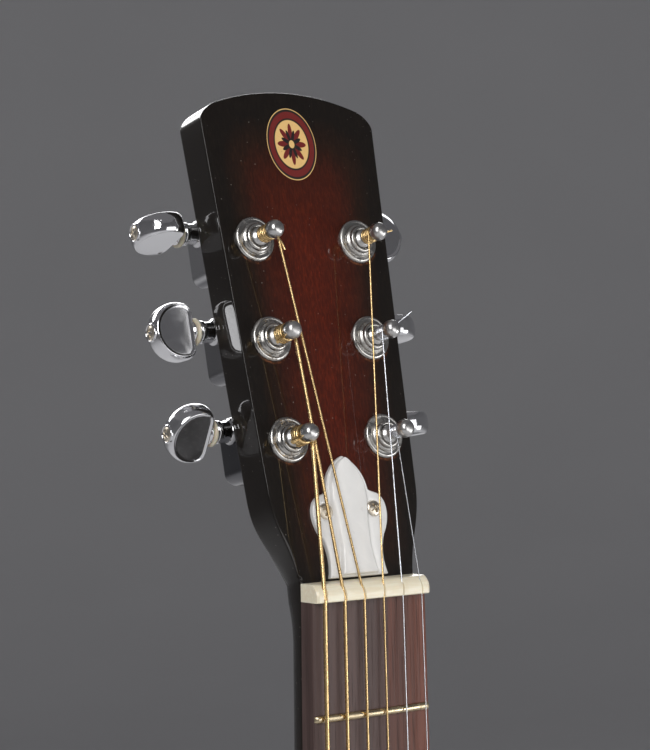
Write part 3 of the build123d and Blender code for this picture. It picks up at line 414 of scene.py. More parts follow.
# Wood grain along Z: fine fibres, darker pores and slow figure, each from stretched noise.
def makeGrainGroup():
    group, given, result = newGroup(
        "woodGrain",
        [
            ("Vector", "NodeSocketVector", None),
            ("Fineness", "NodeSocketFloat", 900.0),
            ("Stretch", "NodeSocketFloat", 0.03),
        ],
        [("Fibre", "NodeSocketFloat"), ("Pores", "NodeSocketFloat"), ("Figure", "NodeSocketFloat")],
    )
    squash = addNode(group, "ShaderNodeCombineXYZ", {"X": 1.0, "Y": 1.0, "Z": given.outputs["Stretch"]})
    stretched = addNode(
        group,
        "ShaderNodeVectorMath",
        {0: given.outputs["Vector"], 1: squash.outputs["Vector"]},
        operation="MULTIPLY",
    ).outputs["Vector"]
    fibre = noise(group, stretched, given.outputs["Fineness"], 6, 0.62, 0.3)
    poreScale = maths(group, "MULTIPLY", given.outputs["Fineness"], 1.7)
    pores = fade(group, noise(group, stretched, poreScale, 3, 0.5), 0.56, 0.7)
    figureScale = maths(group, "MULTIPLY", given.outputs["Fineness"], 0.07)
    figure = noise(group, stretched, figureScale, 3, 0.5, 1.2)
    for label, value in (("Fibre", fibre), ("Pores", pores), ("Figure", figure)):
        group.links.new(value, result.inputs[label])
    return group


# Use marks: thin scratches in two directions, specks of dust and cloudy smudges.
def makeMarksGroup():
    group, given, result = newGroup(
        "useMarks",
        [("Vector", "NodeSocketVector", None), ("Size", "NodeSocketFloat", 1.0)],
        [("Scratches", "NodeSocketFloat"), ("Dust", "NodeSocketFloat"), ("Smudge", "NodeSocketFloat")],
    )
    layers = []
    for turn, stretch in ((0.5, 0.02), (-0.9, 0.03)):
        mapped = addNode(
            group,
            "ShaderNodeMapping",
            {
                "Vector": given.outputs["Vector"],
                "Rotation": (turn, turn * 0.6, turn * 1.4),
                "Scale": (1, stretch, 1),
            },
        )
        scale = maths(group, "MULTIPLY", given.outputs["Size"], 2600.0)
        layers.append(fade(group, noise(group, mapped.outputs["Vector"], scale, 2, 0.5), 0.66, 0.72))
    scratches = maths(group, "MAXIMUM", *layers)
    dustScale = maths(group, "MULTIPLY", given.outputs["Size"], 420.0)
    cells = addNode(group, "ShaderNodeTexVoronoi", {"Vector": given.outputs["Vector"], "Scale": dustScale})
    dust = fade(group, cells.outputs["Distance"], 0.03, 0.1, 1.0, 0.0)
    patches = fade(group, noise(group, given.outputs["Vector"], 60.0, 3), 0.4, 0.6)
    dust = maths(group, "MULTIPLY", dust, patches)
    smudgeScale = maths(group, "MULTIPLY", given.outputs["Size"], 90.0)
    smudge = noise(group, given.outputs["Vector"], smudgeScale, 5, 0.6, 0.8)
    for label, value in (("Scratches", scratches), ("Dust", dust), ("Smudge", smudge)):
        group.links.new(value, result.inputs[label])
    return group


grainGroup = makeGrainGroup()
marksGroup = makeMarksGroup()

caseEdge = (0.0272, 0.0286)  # distance from the middle where a tuner's case gives way to its collar


# Plating: mirror metal whose roughness and tint follow smudges, scratches and dull pits.
# Clear of the headstock's sides its tint becomes that of the ends, if they have their own.
def plated(name, tint, roughness, wear, size=1.0, pits=0.0, ends=None, **extra):
    material, tree, shader, place = openMaterial(name, Metallic=1.0, **extra)
    marks = useGroup(tree, marksGroup, Vector=place, Size=size)
    cloud = fade(tree, marks.outputs["Smudge"], 0.42, 0.68)
    rough = maths(tree, "MULTIPLY_ADD", cloud, wear, roughness)
    rough = maths(tree, "MULTIPLY_ADD", marks.outputs["Scratches"], 0.2 * wear + 0.03, rough)
    tree.links.new(rough, shader.inputs["Roughness"])
    dull = tuple(channel * 0.62 for channel in tint)
    pit = fade(tree, noise(tree, place, 1500.0 * size, 3, 0.6), 0.6, 0.72)
    share = maths(tree, "MULTIPLY", pit, pits)
    color = blendColors(tree, share, (*tint, 1), (*dull, 1))
    if ends:
        parts = addNode(tree, "ShaderNodeSeparateXYZ", {"Vector": place})
        sideways = maths(tree, "ABSOLUTE", parts.outputs["X"])
        color = blendColors(tree, fade(tree, sideways, *caseEdge), color, (*ends, 1))
    color = blendColors(
        tree, maths(tree, "MULTIPLY", marks.outputs["Dust"], 0.4), color, (0.7, 0.68, 0.64, 1)
    )
    tree.links.new(color, shader.inputs["Base Color"])
    height = maths(tree, "MULTIPLY_ADD", pit, -pits, marks.outputs["Scratches"])
    tree.links.new(bump(tree, height, 0.00002, 0.25), shader.inputs["Normal"])
    return material


# Moulded or cast stuff: slight cloudy colour change and a fine skin.
def painted(name, color, roughness, variation=0.06, size=1.0, grainHeight=0.00002, **extra):
    material, tree, shader, place = openMaterial(name, **extra)
    marks = useGroup(tree, marksGroup, Vector=place, Size=size)
    darker = tuple(channel * (1 - variation * 2) for channel in color)
    tinted = blendColors(tree, fade(tree, marks.outputs["Smudge"], 0.35, 0.7), (*darker, 1), (*color, 1))
    tree.links.new(tinted, shader.inputs["Base Color"])
    rough = maths(tree, "MULTIPLY_ADD", marks.outputs["Smudge"], 0.16, roughness - 0.08)
    tree.links.new(rough, shader.inputs["Roughness"])
    skin = maths(tree, "ADD", noise(tree, place, 1800.0, 3), marks.outputs["Scratches"])
    tree.links.new(bump(tree, skin, grainHeight, 0.3), shader.inputs["Normal"])
    return material


burst = {
    "black": (0.0075, 0.005, 0.0032),
    "brown": (0.02, 0.0075, 0.003),
    "amber": (0.054, 0.0085, 0.0022),
    "heart": (0.09, 0.0105, 0.0022),
}


def lacquerOver(tree, shader, color, place, grainDepth):
    marks = useGroup(tree, marksGroup, Vector=place, Size=1.0)
    color = blendColors(
        tree, maths(tree, "MULTIPLY", marks.outputs["Dust"], 0.5), color, (0.42, 0.38, 0.34, 1)
    )
    tree.links.new(color, shader.inputs["Base Color"])
    coat = maths(tree, "MULTIPLY_ADD", marks.outputs["Scratches"], -0.15, 1.0)
    tree.links.new(coat, shader.inputs["Coat Weight"])
    ripple = maths(tree, "MULTIPLY_ADD", marks.outputs["Scratches"], 0.4, grainDepth)
    tree.links.new(bump(tree, ripple, 0.00003, 0.2), shader.inputs["Normal"])


# Headstock face: black at the outline, red-brown in the middle; everything behind it is black.
def makeNeckLacquer(shape):
    material, tree, shader, place = openMaterial(
        "neckLacquer", Roughness=0.5, Coat_Roughness=0.03, Coat_IOR=1.36, Specular_IOR_Level=0.12
    )
    tilt = math.atan2(headNormal[2], -headNormal[1])
    local = addNode(
        tree,
        "ShaderNodeMapping",
        {"Vector": place, "Location": tuple(headOrigin * mm), "Rotation": (-tilt, 0, 0)},
        vector_type="TEXTURE",
    ).outputs["Vector"]
    parts = addNode(tree, "ShaderNodeSeparateXYZ", {"Vector": local})
    across = maths(tree, "ABSOLUTE", parts.outputs["X"])
    s = parts.outputs["Z"]
    depth = parts.outputs["Y"]
    growth = (shape["halfHigh"] - shape["halfLow"]) / (shape["corner"] - shape["shoulder"])
    half = maths(tree, "MULTIPLY_ADD", s, growth, (shape["halfLow"] - growth * shape["shoulder"]) * mm)
    fromSide = maths(tree, "SUBTRACT", half, across)
    crownX = maths(tree, "POWER", parts.outputs["X"], 2.0)
    crownS = maths(tree, "POWER", maths(tree, "SUBTRACT", s, shape["crownCentre"] * mm), 2.0)
    fromTop = maths(
        tree, "SUBTRACT", shape["crownRadius"] * mm, maths(tree, "SQRT", maths(tree, "ADD", crownX, crownS))
    )
    fromTop = maths(tree, "MULTIPLY", fromTop, 0.62)
    fromNut = maths(tree, "MULTIPLY_ADD", s, 0.55, 0.006)
    nearest = maths(tree, "SMOOTH_MIN", fromSide, fromTop, 0.012)
    nearest = maths(tree, "SMOOTH_MIN", nearest, fromNut, 0.010)
    grain = useGroup(tree, grainGroup, Vector=place, Fineness=1500.0, Stretch=0.045)
    wander = maths(tree, "MULTIPLY_ADD", grain.outputs["Figure"], 0.005, -0.0025)
    nearest = maths(tree, "ADD", nearest, wander)
    share = maths(tree, "DIVIDE", nearest, 0.03)
    color = ramp(
        tree,
        share,
        [(0.16, burst["black"]), (0.34, burst["brown"]), (0.56, burst["amber"]), (0.95, burst["heart"])],
    )
    deep = blendColors(tree, 1.0, color, (0.45, 0.38, 0.34, 1), "MULTIPLY")
    color = blendColors(tree, fade(tree, grain.outputs["Fibre"], 0.4, 0.66, 0.75, 0.0), color, deep)
    flame = blendColors(tree, 1.0, color, (2.2, 1.7, 1.5, 1), "MULTIPLY")
    color = blendColors(tree, maths(tree, "MULTIPLY", grain.outputs["Pores"], 0.42), color, flame)
    onFace = fade(tree, depth, 0.0002, 0.0009, 1.0, 0.0)
    aboveNut = fade(tree, s, -0.004, 0.0, 0.0, 1.0)
    color = blendColors(tree, maths(tree, "MULTIPLY", onFace, aboveNut), (*burst["black"], 1), color)
    shaft = fade(tree, parts.outputs["Z"], -0.11, -0.03, 1.0, 0.0)
    shaftColor = blendColors(
        tree, grain.outputs["Fibre"], (0.012, 0.0035, 0.002, 1), (0.03, 0.008, 0.0035, 1)
    )
    color = blendColors(tree, shaft, color, shaftColor)
    # a paler amber ring along the lower edge of each washer, broken up by noise
    wear = 0.0
    for post in posts.values():
        awayX = maths(tree, "MULTIPLY_ADD", parts.outputs["X"], 1 / mm, -post["x"] - 0.35)
        awayS = maths(tree, "MULTIPLY_ADD", s, 1 / mm, -post["s"] + 0.45)
        away = maths(
            tree,
            "SQRT",
            maths(tree, "ADD", maths(tree, "POWER", awayX, 2.0), maths(tree, "POWER", awayS, 2.0)),
        )
        ring = fade(tree, away, 7.2, 7.85, 1.0, 0.0)
        ring = maths(tree, "MULTIPLY", ring, fade(tree, awayS, -6.0, -1.0, 1.0, 0.0))
        wear = maths(tree, "MAXIMUM", wear, ring)
    ringBreakup = fade(tree, noise(tree, place, 420.0, 6, 0.75), 0.4, 0.7)
    wear = maths(tree, "MULTIPLY", maths(tree, "MULTIPLY", wear, onFace), ringBreakup)
    color = blendColors(tree, maths(tree, "MULTIPLY", wear, 0.75), color, (0.3, 0.1, 0.035, 1))
    lacquerOver(tree, shader, color, place, grain.outputs["Fibre"])
    return material


# Body: amber-red middle fading to black at the outline, with the grain along the body.
def makeBodyLacquer():
    material, tree, shader, place = openMaterial(
        "bodyLacquer", Roughness=0.5, Coat_Roughness=0.03, Coat_IOR=1.4, Specular_IOR_Level=0.15
    )
    parts = addNode(tree, "ShaderNodeSeparateXYZ", {"Vector": place})
    low, high = boxOf("soundboard")
    length = high[2] - low[2]
    z = maths(tree, "MULTIPLY_ADD", parts.outputs["Z"], 1 / length / mm, -low[2] / length)
    bouts = addNode(tree, "ShaderNodeFloatCurve", {"Value": z})
    curve = bouts.mapping.curves[0]
    for position, half in ((0.0, 0.0), (0.12, 0.78), (0.29, 0.99), (0.62, 0.62), (0.83, 0.70), (0.95, 0.52)):
        curve.points.new(position, half)
    curve.points[-1].location = (1.0, 0.16)
    bouts.mapping.update()
    half = maths(tree, "MULTIPLY", bouts.outputs["Value"], high[0] * mm)
    fromSide = maths(tree, "SUBTRACT", half, maths(tree, "ABSOLUTE", parts.outputs["X"]))
    share = maths(tree, "DIVIDE", fromSide, 0.085)
    grain = useGroup(tree, grainGroup, Vector=place, Fineness=900.0, Stretch=0.03)
    share = maths(tree, "ADD", share, maths(tree, "MULTIPLY_ADD", grain.outputs["Figure"], 0.12, -0.06))
    color = ramp(
        tree,
        share,
        [(0.1, burst["black"]), (0.36, burst["brown"]), (0.66, burst["amber"]), (1.0, (0.2, 0.045, 0.012))],
    )
    deep = blendColors(tree, 1.0, color, (0.5, 0.42, 0.36, 1), "MULTIPLY")
    color = blendColors(tree, fade(tree, grain.outputs["Fibre"], 0.4, 0.68, 0.6, 0.0), color, deep)
    lacquerOver(tree, shader, color, place, grain.outputs["Fibre"])
    return material


def makeSideLacquer():
    material, tree, shader, place = openMaterial(
        "sideLacquer", Roughness=0.5, Coat_Roughness=0.025, Coat_IOR=1.4, Specular_IOR_Level=0.15
    )
    grain = useGroup(tree, grainGroup, Vector=place, Fineness=900.0, Stretch=0.03)
    color = blendColors(tree, grain.outputs["Fibre"], (0.004, 0.0025, 0.002, 1), (0.02, 0.006, 0.0035, 1))
    lacquerOver(tree, shader, color, place, grain.outputs["Fibre"])
    return material


# Unlacquered wood: two tones along the fibres, dark open pores cut in by bump.
def bareWood(name, light, dark, fineness=900.0, roughness=0.6, figure=0.5, poreShare=0.6):
    material, tree, shader, place = openMaterial(name, Specular_IOR_Level=0.4)
    grain = useGroup(tree, grainGroup, Vector=place, Fineness=fineness, Stretch=0.03)
    tone = maths(
        tree,
        "MULTIPLY_ADD",
        grain.outputs["Figure"],
        figure,
        maths(tree, "MULTIPLY", grain.outputs["Fibre"], 1 - figure),
    )
    color = blendColors(tree, fade(tree, tone, 0.36, 0.64), (*dark, 1), (*light, 1))
    pore = tuple(channel * 0.35 for channel in dark)
    color = blendColors(tree, maths(tree, "MULTIPLY", grain.outputs["Pores"], poreShare), color, (*pore, 1))
    tree.links.new(color, shader.inputs["Base Color"])
    rough = maths(tree, "MULTIPLY_ADD", grain.outputs["Pores"], 0.2, roughness)
    tree.links.new(rough, shader.inputs["Roughness"])
    height = maths(tree, "MULTIPLY_ADD", grain.outputs["Pores"], -1.5, grain.outputs["Fibre"])
    tree.links.new(bump(tree, height, 0.00005, 0.5), shader.inputs["Normal"])
    return material


# Fingerboard: dark grey-brown streaked with red towards the treble side.
def makeRosewood():
    material, tree, shader, place = openMaterial("rosewood", Specular_IOR_Level=0.35)
    grain = useGroup(tree, grainGroup, Vector=place, Fineness=1100.0, Stretch=0.022)
    broad = useGroup(tree, grainGroup, Vector=place, Fineness=3200.0, Stretch=0.012)
    tone = maths(
        tree,
        "MULTIPLY_ADD",
        grain.outputs["Figure"],
        0.55,
        maths(tree, "MULTIPLY", grain.outputs["Fibre"], 0.45),
    )
    cool = blendColors(
        tree, fade(tree, tone, 0.34, 0.66), (0.05, 0.03, 0.027, 1), (0.1, 0.062, 0.056, 1)
    )
    warm = blendColors(
        tree, fade(tree, tone, 0.34, 0.66), (0.068, 0.021, 0.012, 1), (0.155, 0.046, 0.026, 1)
    )
    parts = addNode(tree, "ShaderNodeSeparateXYZ", {"Vector": place})
    treble = maths(
        tree, "ADD", parts.outputs["X"], maths(tree, "MULTIPLY_ADD", broad.outputs["Figure"], 0.02, -0.01)
    )
    color = blendColors(tree, fade(tree, treble, -0.002, 0.016), cool, warm)
    color = blendColors(
        tree, maths(tree, "MULTIPLY", grain.outputs["Pores"], 0.45), color, (0.02, 0.01, 0.008, 1)
    )
    tree.links.new(color, shader.inputs["Base Color"])
    rough = maths(tree, "MULTIPLY_ADD", grain.outputs["Fibre"], 0.25, 0.36)
    tree.links.new(rough, shader.inputs["Roughness"])
    height = maths(tree, "MULTIPLY_ADD", grain.outputs["Pores"], -1.6, grain.outputs["Fibre"])
    tree.links.new(bump(tree, height, 0.00006, 0.6), shader.inputs["Normal"])
    return material


# Nut: cream, slightly translucent, with faint lengthwise veins and grime in cloudy patches.
def makeBone():
    material, tree, shader, place = openMaterial(
        "bone",
        Subsurface_Weight=0.12,
        Subsurface_Scale=0.002,
        Subsurface_Radius=(1.0, 0.7, 0.4),
        Coat_Weight=0.25,
        Coat_Roughness=0.2,
    )
    veins = noise(
        tree,
        addNode(tree, "ShaderNodeMapping", {"Vector": place, "Scale": (0.12, 1, 1)}).outputs["Vector"],
        900.0,
        5,
        0.6,
        0.5,
    )
    color = blendColors(tree, fade(tree, veins, 0.35, 0.7), (0.84, 0.75, 0.56, 1), (0.9, 0.84, 0.67, 1))
    marks = useGroup(tree, marksGroup, Vector=place, Size=1.4)
    grime = maths(tree, "MULTIPLY", fade(tree, marks.outputs["Smudge"], 0.55, 0.8), 0.18)
    color = blendColors(tree, grime, color, (0.58, 0.45, 0.26, 1))
    tree.links.new(color, shader.inputs["Base Color"])
    rough = maths(tree, "MULTIPLY_ADD", veins, 0.2, 0.25)
    tree.links.new(rough, shader.inputs["Roughness"])
    tree.links.new(
        bump(tree, maths(tree, "ADD", veins, marks.outputs["Scratches"]), 0.00002, 0.4),
        shader.inputs["Normal"],
    )
    return material


# Wound string: V counts turns of the winding, so a sine of it with U gives the slanting grooves.
# The grooves take the darker colour: painted shade between the turns of the winding.
def makeWound(name, bright, dark, metallic=1.0):
    material, tree, shader, place = openMaterial(name, Metallic=metallic)
    turns = addNode(
        tree,
        "ShaderNodeSeparateXYZ",
        {"Vector": addNode(tree, "ShaderNodeUVMap", uv_map="along").outputs["UV"]},
    )
    phase = maths(tree, "MULTIPLY", maths(tree, "ADD", turns.outputs["X"], turns.outputs["Y"]), math.pi)
    ridge = maths(tree, "ABSOLUTE", maths(tree, "SINE", phase))
    tarnish = fade(tree, noise(tree, place, 700.0, 4), 0.4, 0.7)
    wire = blendColors(
        tree, maths(tree, "MULTIPLY", tarnish, 0.55), (*bright, 1), tuple(c * 0.6 for c in bright) + (1,)
    )
    # painted shade: the grooves between turns take the darker colour
    color = blendColors(tree, fade(tree, ridge, 0.0, 0.45), (*dark, 1), wire)
    tree.links.new(color, shader.inputs["Base Color"])
    rough = maths(tree, "MULTIPLY_ADD", tarnish, 0.15, 0.24)
    tree.links.new(rough, shader.inputs["Roughness"])
    tree.links.new(bump(tree, ridge, 0.00002, 0.1), shader.inputs["Normal"])
    return material


# Generic medallion: U is the angle and V the radius, so rings are bands of V and petals a cosine of U.
def makeEmblem():
    material, tree, shader, place = openMaterial(
        "emblem", Roughness=0.4, Coat_Weight=1.0, Coat_Roughness=0.05
    )
    turns = addNode(
        tree,
        "ShaderNodeSeparateXYZ",
        {"Vector": addNode(tree, "ShaderNodeUVMap", uv_map="along").outputs["UV"]},
    )
    angle = maths(tree, "MULTIPLY", turns.outputs["X"], 2 * math.pi)
    radius = turns.outputs["Y"]
    cream = (0.78, 0.5, 0.19, 1)
    red = (0.15, 0.008, 0.006, 1)
    ink = (0.006, 0.004, 0.003, 1)
    rings = ramp(
        tree,
        radius,
        [
            (0.0, cream[:3]),
            (0.665, cream[:3]),
            (0.685, ink[:3]),
            (0.715, ink[:3]),
            (0.735, red[:3]),
            (0.9, red[:3]),
            (0.92, ink[:3]),
            (0.965, ink[:3]),
            (0.985, cream[:3]),
        ],
    )
    for petals, reach, dip, tone, turn in ((8, 0.58, 0.34, red, 0.0), (8, 0.42, 0.27, ink, math.pi)):
        wave = maths(tree, "COSINE", maths(tree, "MULTIPLY_ADD", angle, float(petals), turn))
        edge = maths(tree, "MULTIPLY_ADD", wave, dip / 2, reach - dip / 2)
        inside = fade(tree, maths(tree, "SUBTRACT", edge, radius), -0.01, 0.015)
        rings = blendColors(tree, inside, rings, tone)
    hub = fade(tree, radius, 0.1, 0.12, 1.0, 0.0)
    rings = blendColors(tree, hub, rings, cream)
    wear = noise(tree, place, 2600.0, 4)
    rings = blendColors(tree, fade(tree, wear, 0.62, 0.75, 0.0, 0.5), rings, (0.05, 0.018, 0.01, 1))
    tree.links.new(rings, shader.inputs["Base Color"])
    tree.links.new(bump(tree, wear, 0.00002, 0.2), shader.inputs["Normal"])
    return material


# Spun metal: fine rings about the centre line change its roughness and height.
def makeSpun(name, tint, centre, roughness):
    material, tree, shader, place = openMaterial(name, Metallic=1.0, Base_Color=(*tint, 1))
    local = addNode(
        tree, "ShaderNodeMapping", {"Vector": place, "Location": tuple(-np.array(centre) * mm)}
    ).outputs["Vector"]
    parts = addNode(tree, "ShaderNodeSeparateXYZ", {"Vector": local})
    squares = maths(
        tree,
        "ADD",
        maths(tree, "POWER", parts.outputs["X"], 2.0),
        maths(tree, "POWER", parts.outputs["Z"], 2.0),
    )
    radius = maths(tree, "SQRT", squares)
    rings = addNode(
        tree,
        "ShaderNodeTexNoise",
        {"W": maths(tree, "MULTIPLY", radius, 1800.0), "Scale": 1.0, "Detail": 3.0},
        noise_dimensions="1D",
    ).outputs["Fac"]
    tree.links.new(maths(tree, "MULTIPLY_ADD", rings, 0.3, roughness - 0.15), shader.inputs["Roughness"])
    tree.links.new(bump(tree, rings, 0.00004, 0.5), shader.inputs["Normal"])
    return material


headShape = {
    "halfLow": 28.9,
    "halfHigh": 34.2,
    "shoulder": 28.0,
    "corner": 153.0,
    "length": 160.0,
    "thickness": 13.5,
    "cornerRound": 4.1,
    "frontRound": 0.35,
    "backRound": 1.6,
}
crownRise = headShape["length"] - headShape["corner"]
headShape["crownRadius"] = (headShape["halfHigh"] ** 2 + crownRise**2) / (2 * crownRise)
headShape["crownCentre"] = headShape["length"] - headShape["crownRadius"]

finishes = {
    "neck": makeNeckLacquer(headShape),
    "body": makeBodyLacquer(),
    "sides": makeSideLacquer(),
    "rosewood": makeRosewood(),
    "bone": makeBone(),
    "chrome": plated("chrome", (0.78, 0.78, 0.8), 0.045, 0.12),
    "wornChrome": plated("wornChrome", (0.52, 0.505, 0.48), 0.15, 0.3, 2.6, 0.9),
    "caseChrome": plated("caseChrome", (0.16, 0.16, 0.17), 0.07, 0.12, ends=(0.6, 0.6, 0.61)),
    "domeNickel": plated("domeNickel", (0.6, 0.59, 0.58), 0.26, 0.16, 1.6, 0.35),
    "screwNickel": plated("screwNickel", (0.74, 0.67, 0.56), 0.28, 0.25, 2.0, 0.5),
    "coverChrome": plated("coverChrome", (0.62, 0.62, 0.64), 0.07, 0.12, 0.4),
    "fretWire": plated("fretWire", (0.6, 0.5, 0.33), 0.2, 0.3, 2.0, 0.5),
    "plainSteel": plated("plainSteel", (0.74, 0.76, 0.8), 0.2, 0.12, 3.0),
    "brass": plated("brass", (0.72, 0.52, 0.22), 0.25, 0.2, 2.0, 0.4),
    "darkSteel": plated("darkSteel", (0.4, 0.4, 0.41), 0.3, 0.2, 2.0, 0.5),
    "castAluminium": painted("castAluminium", (0.62, 0.62, 0.63), 0.35, Metallic=1.0, grainHeight=0.00012),
    "spunAluminium": makeSpun("spunAluminium", (0.78, 0.78, 0.79), (0, 0, -635), 0.32),
    # the second colour is painted shade for the grooves between the winding's turns
    "bronze": makeWound("bronze", (0.84, 0.6, 0.29), (0.7, 0.47, 0.2)),
    "whitePlastic": painted(
        "whitePlastic",
        (0.83, 0.82, 0.8),
        0.3,
        0.03,
        grainHeight=0.00003,
        Coat_Weight=0.3,
        Coat_Roughness=0.12,
    ),
    "nylon": painted("nylon", (0.74, 0.66, 0.5), 0.45, 0.08, Subsurface_Weight=0.2, Subsurface_Scale=0.001),
    "cream": painted("cream", (0.72, 0.62, 0.4), 0.25, 0.06, Coat_Weight=0.6, Coat_Roughness=0.06),
    "pearl": painted("pearl", (0.78, 0.77, 0.74), 0.2, 0.1, 3.0, Coat_Weight=0.8, Coat_Roughness=0.05),
    "rawWood": bareWood("rawWood", (0.58, 0.4, 0.22), (0.42, 0.27, 0.14)),
    "maple": bareWood("maple", (0.7, 0.53, 0.33), (0.58, 0.41, 0.23), poreShare=0.2),
    "emblem": makeEmblem(),
}
print("finishes made:", len(finishes))

neckShape = {
    "depthAtNut": 14.5,
    "depthAtHeel": 17.0,
    "fullness": 0.56,
    "bodyTop": -317.5,
    "heelReach": 62.0,
    "heelDepth": 88.0,
    "tiltStart": -26.0,
    "tiltEnd": 20.0,
    "squareStart": -14.0,
    "squareEnd": 24.0,
}


# Half width up the headstock: a flare from the nut to the shoulder, then a straight taper, then the corner.
def headHalf(s):
    flare = bezier([(21.9, 0), (23.5, 11.8), (28.0, 15.4), (28.9, 28.0)], 60)
    growth = (headShape["halfHigh"] - headShape["halfLow"]) / (headShape["corner"] - headShape["shoulder"])
    straight = headShape["halfLow"] + growth * (s - headShape["shoulder"])
    return np.where(s < headShape["shoulder"], np.interp(s, flare[:, 1], flare[:, 0]), straight)


# Half width of the fingerboard, straight from its end to the nut.
def boardHalf(z):
    return np.interp(z, [boardLow[2], 0], [boardHigh[0], nutHigh[0]])


def smooth(value, low, high):
    t = np.clip((value - low) / (high - low), 0, 1)
    return t * t * (3 - 2 * t)


# Stations down the neck, each one front width, depth, tilt and squareness, from heel to crown.
def neckSections():
    shaft = np.concatenate(
        [
            np.linspace(neckShape["bodyTop"], neckShape["bodyTop"] + neckShape["heelReach"], 40),
            np.linspace(neckShape["bodyTop"] + neckShape["heelReach"] + 4, -40, 30),
            np.linspace(-36, 0, 28),
        ]
    )
    head = np.concatenate(
        [np.linspace(0, 34, 36), np.linspace(38, headShape["corner"] - headShape["cornerRound"], 24)]
    )
    return shaft, head


# One closed loop across the neck: flat front, then a round back mixed with a square one.
def sectionLoop(half, depth, fullness, square, narrow, frontRound, backRound, count=28):
    t = np.linspace(0, 1, count)[:, None]
    start, one = np.array([-half, 0.0]), np.array([-half, (0.45 + 0.55 * fullness) * depth])
    two, end = np.array([-half * fullness, depth]), np.array([0.0, depth])
    roundBack = (1 - t) ** 3 * start + 3 * t * (1 - t) ** 2 * one + 3 * t**2 * (1 - t) * two + t**3 * end
    corner = rounded([(-half, 0), (-half, depth, backRound), (0, depth)], 8)
    length = np.concatenate([[0], np.cumsum(np.linalg.norm(np.diff(corner, axis=0), axis=1))])
    nearCorner = np.interp(
        t[:, 0], [0, 0.35, 0.75, 1], [0, length[1] / length[-1], length[-2] / length[-1], 1]
    )
    at = nearCorner * length[-1]
    squareBack = np.stack([np.interp(at, length, corner[:, 0]), np.interp(at, length, corner[:, 1])], -1)
    backHalf = (1 - square) * roundBack + square * squareBack
    quarter = np.linspace(0, np.pi / 2, 5)
    ease = np.stack([-half + frontRound * (1 - np.sin(quarter)), frontRound * (1 - np.cos(quarter))], -1)
    backHalf[:, 1] = np.maximum(backHalf[:, 1], frontRound)
    left = np.concatenate([ease, backHalf[1:]])
    left[:, 0] *= 1 - narrow * np.clip(left[:, 1] / depth, 0, 1)
    mirrored = left[::-1].copy()
    mirrored[:, 0] *= -1
    across = np.linspace(1, -1, 34)[1:-1] * (half - frontRound)
    return np.concatenate([left, mirrored[1:], np.stack([across, 0 * across], -1)])


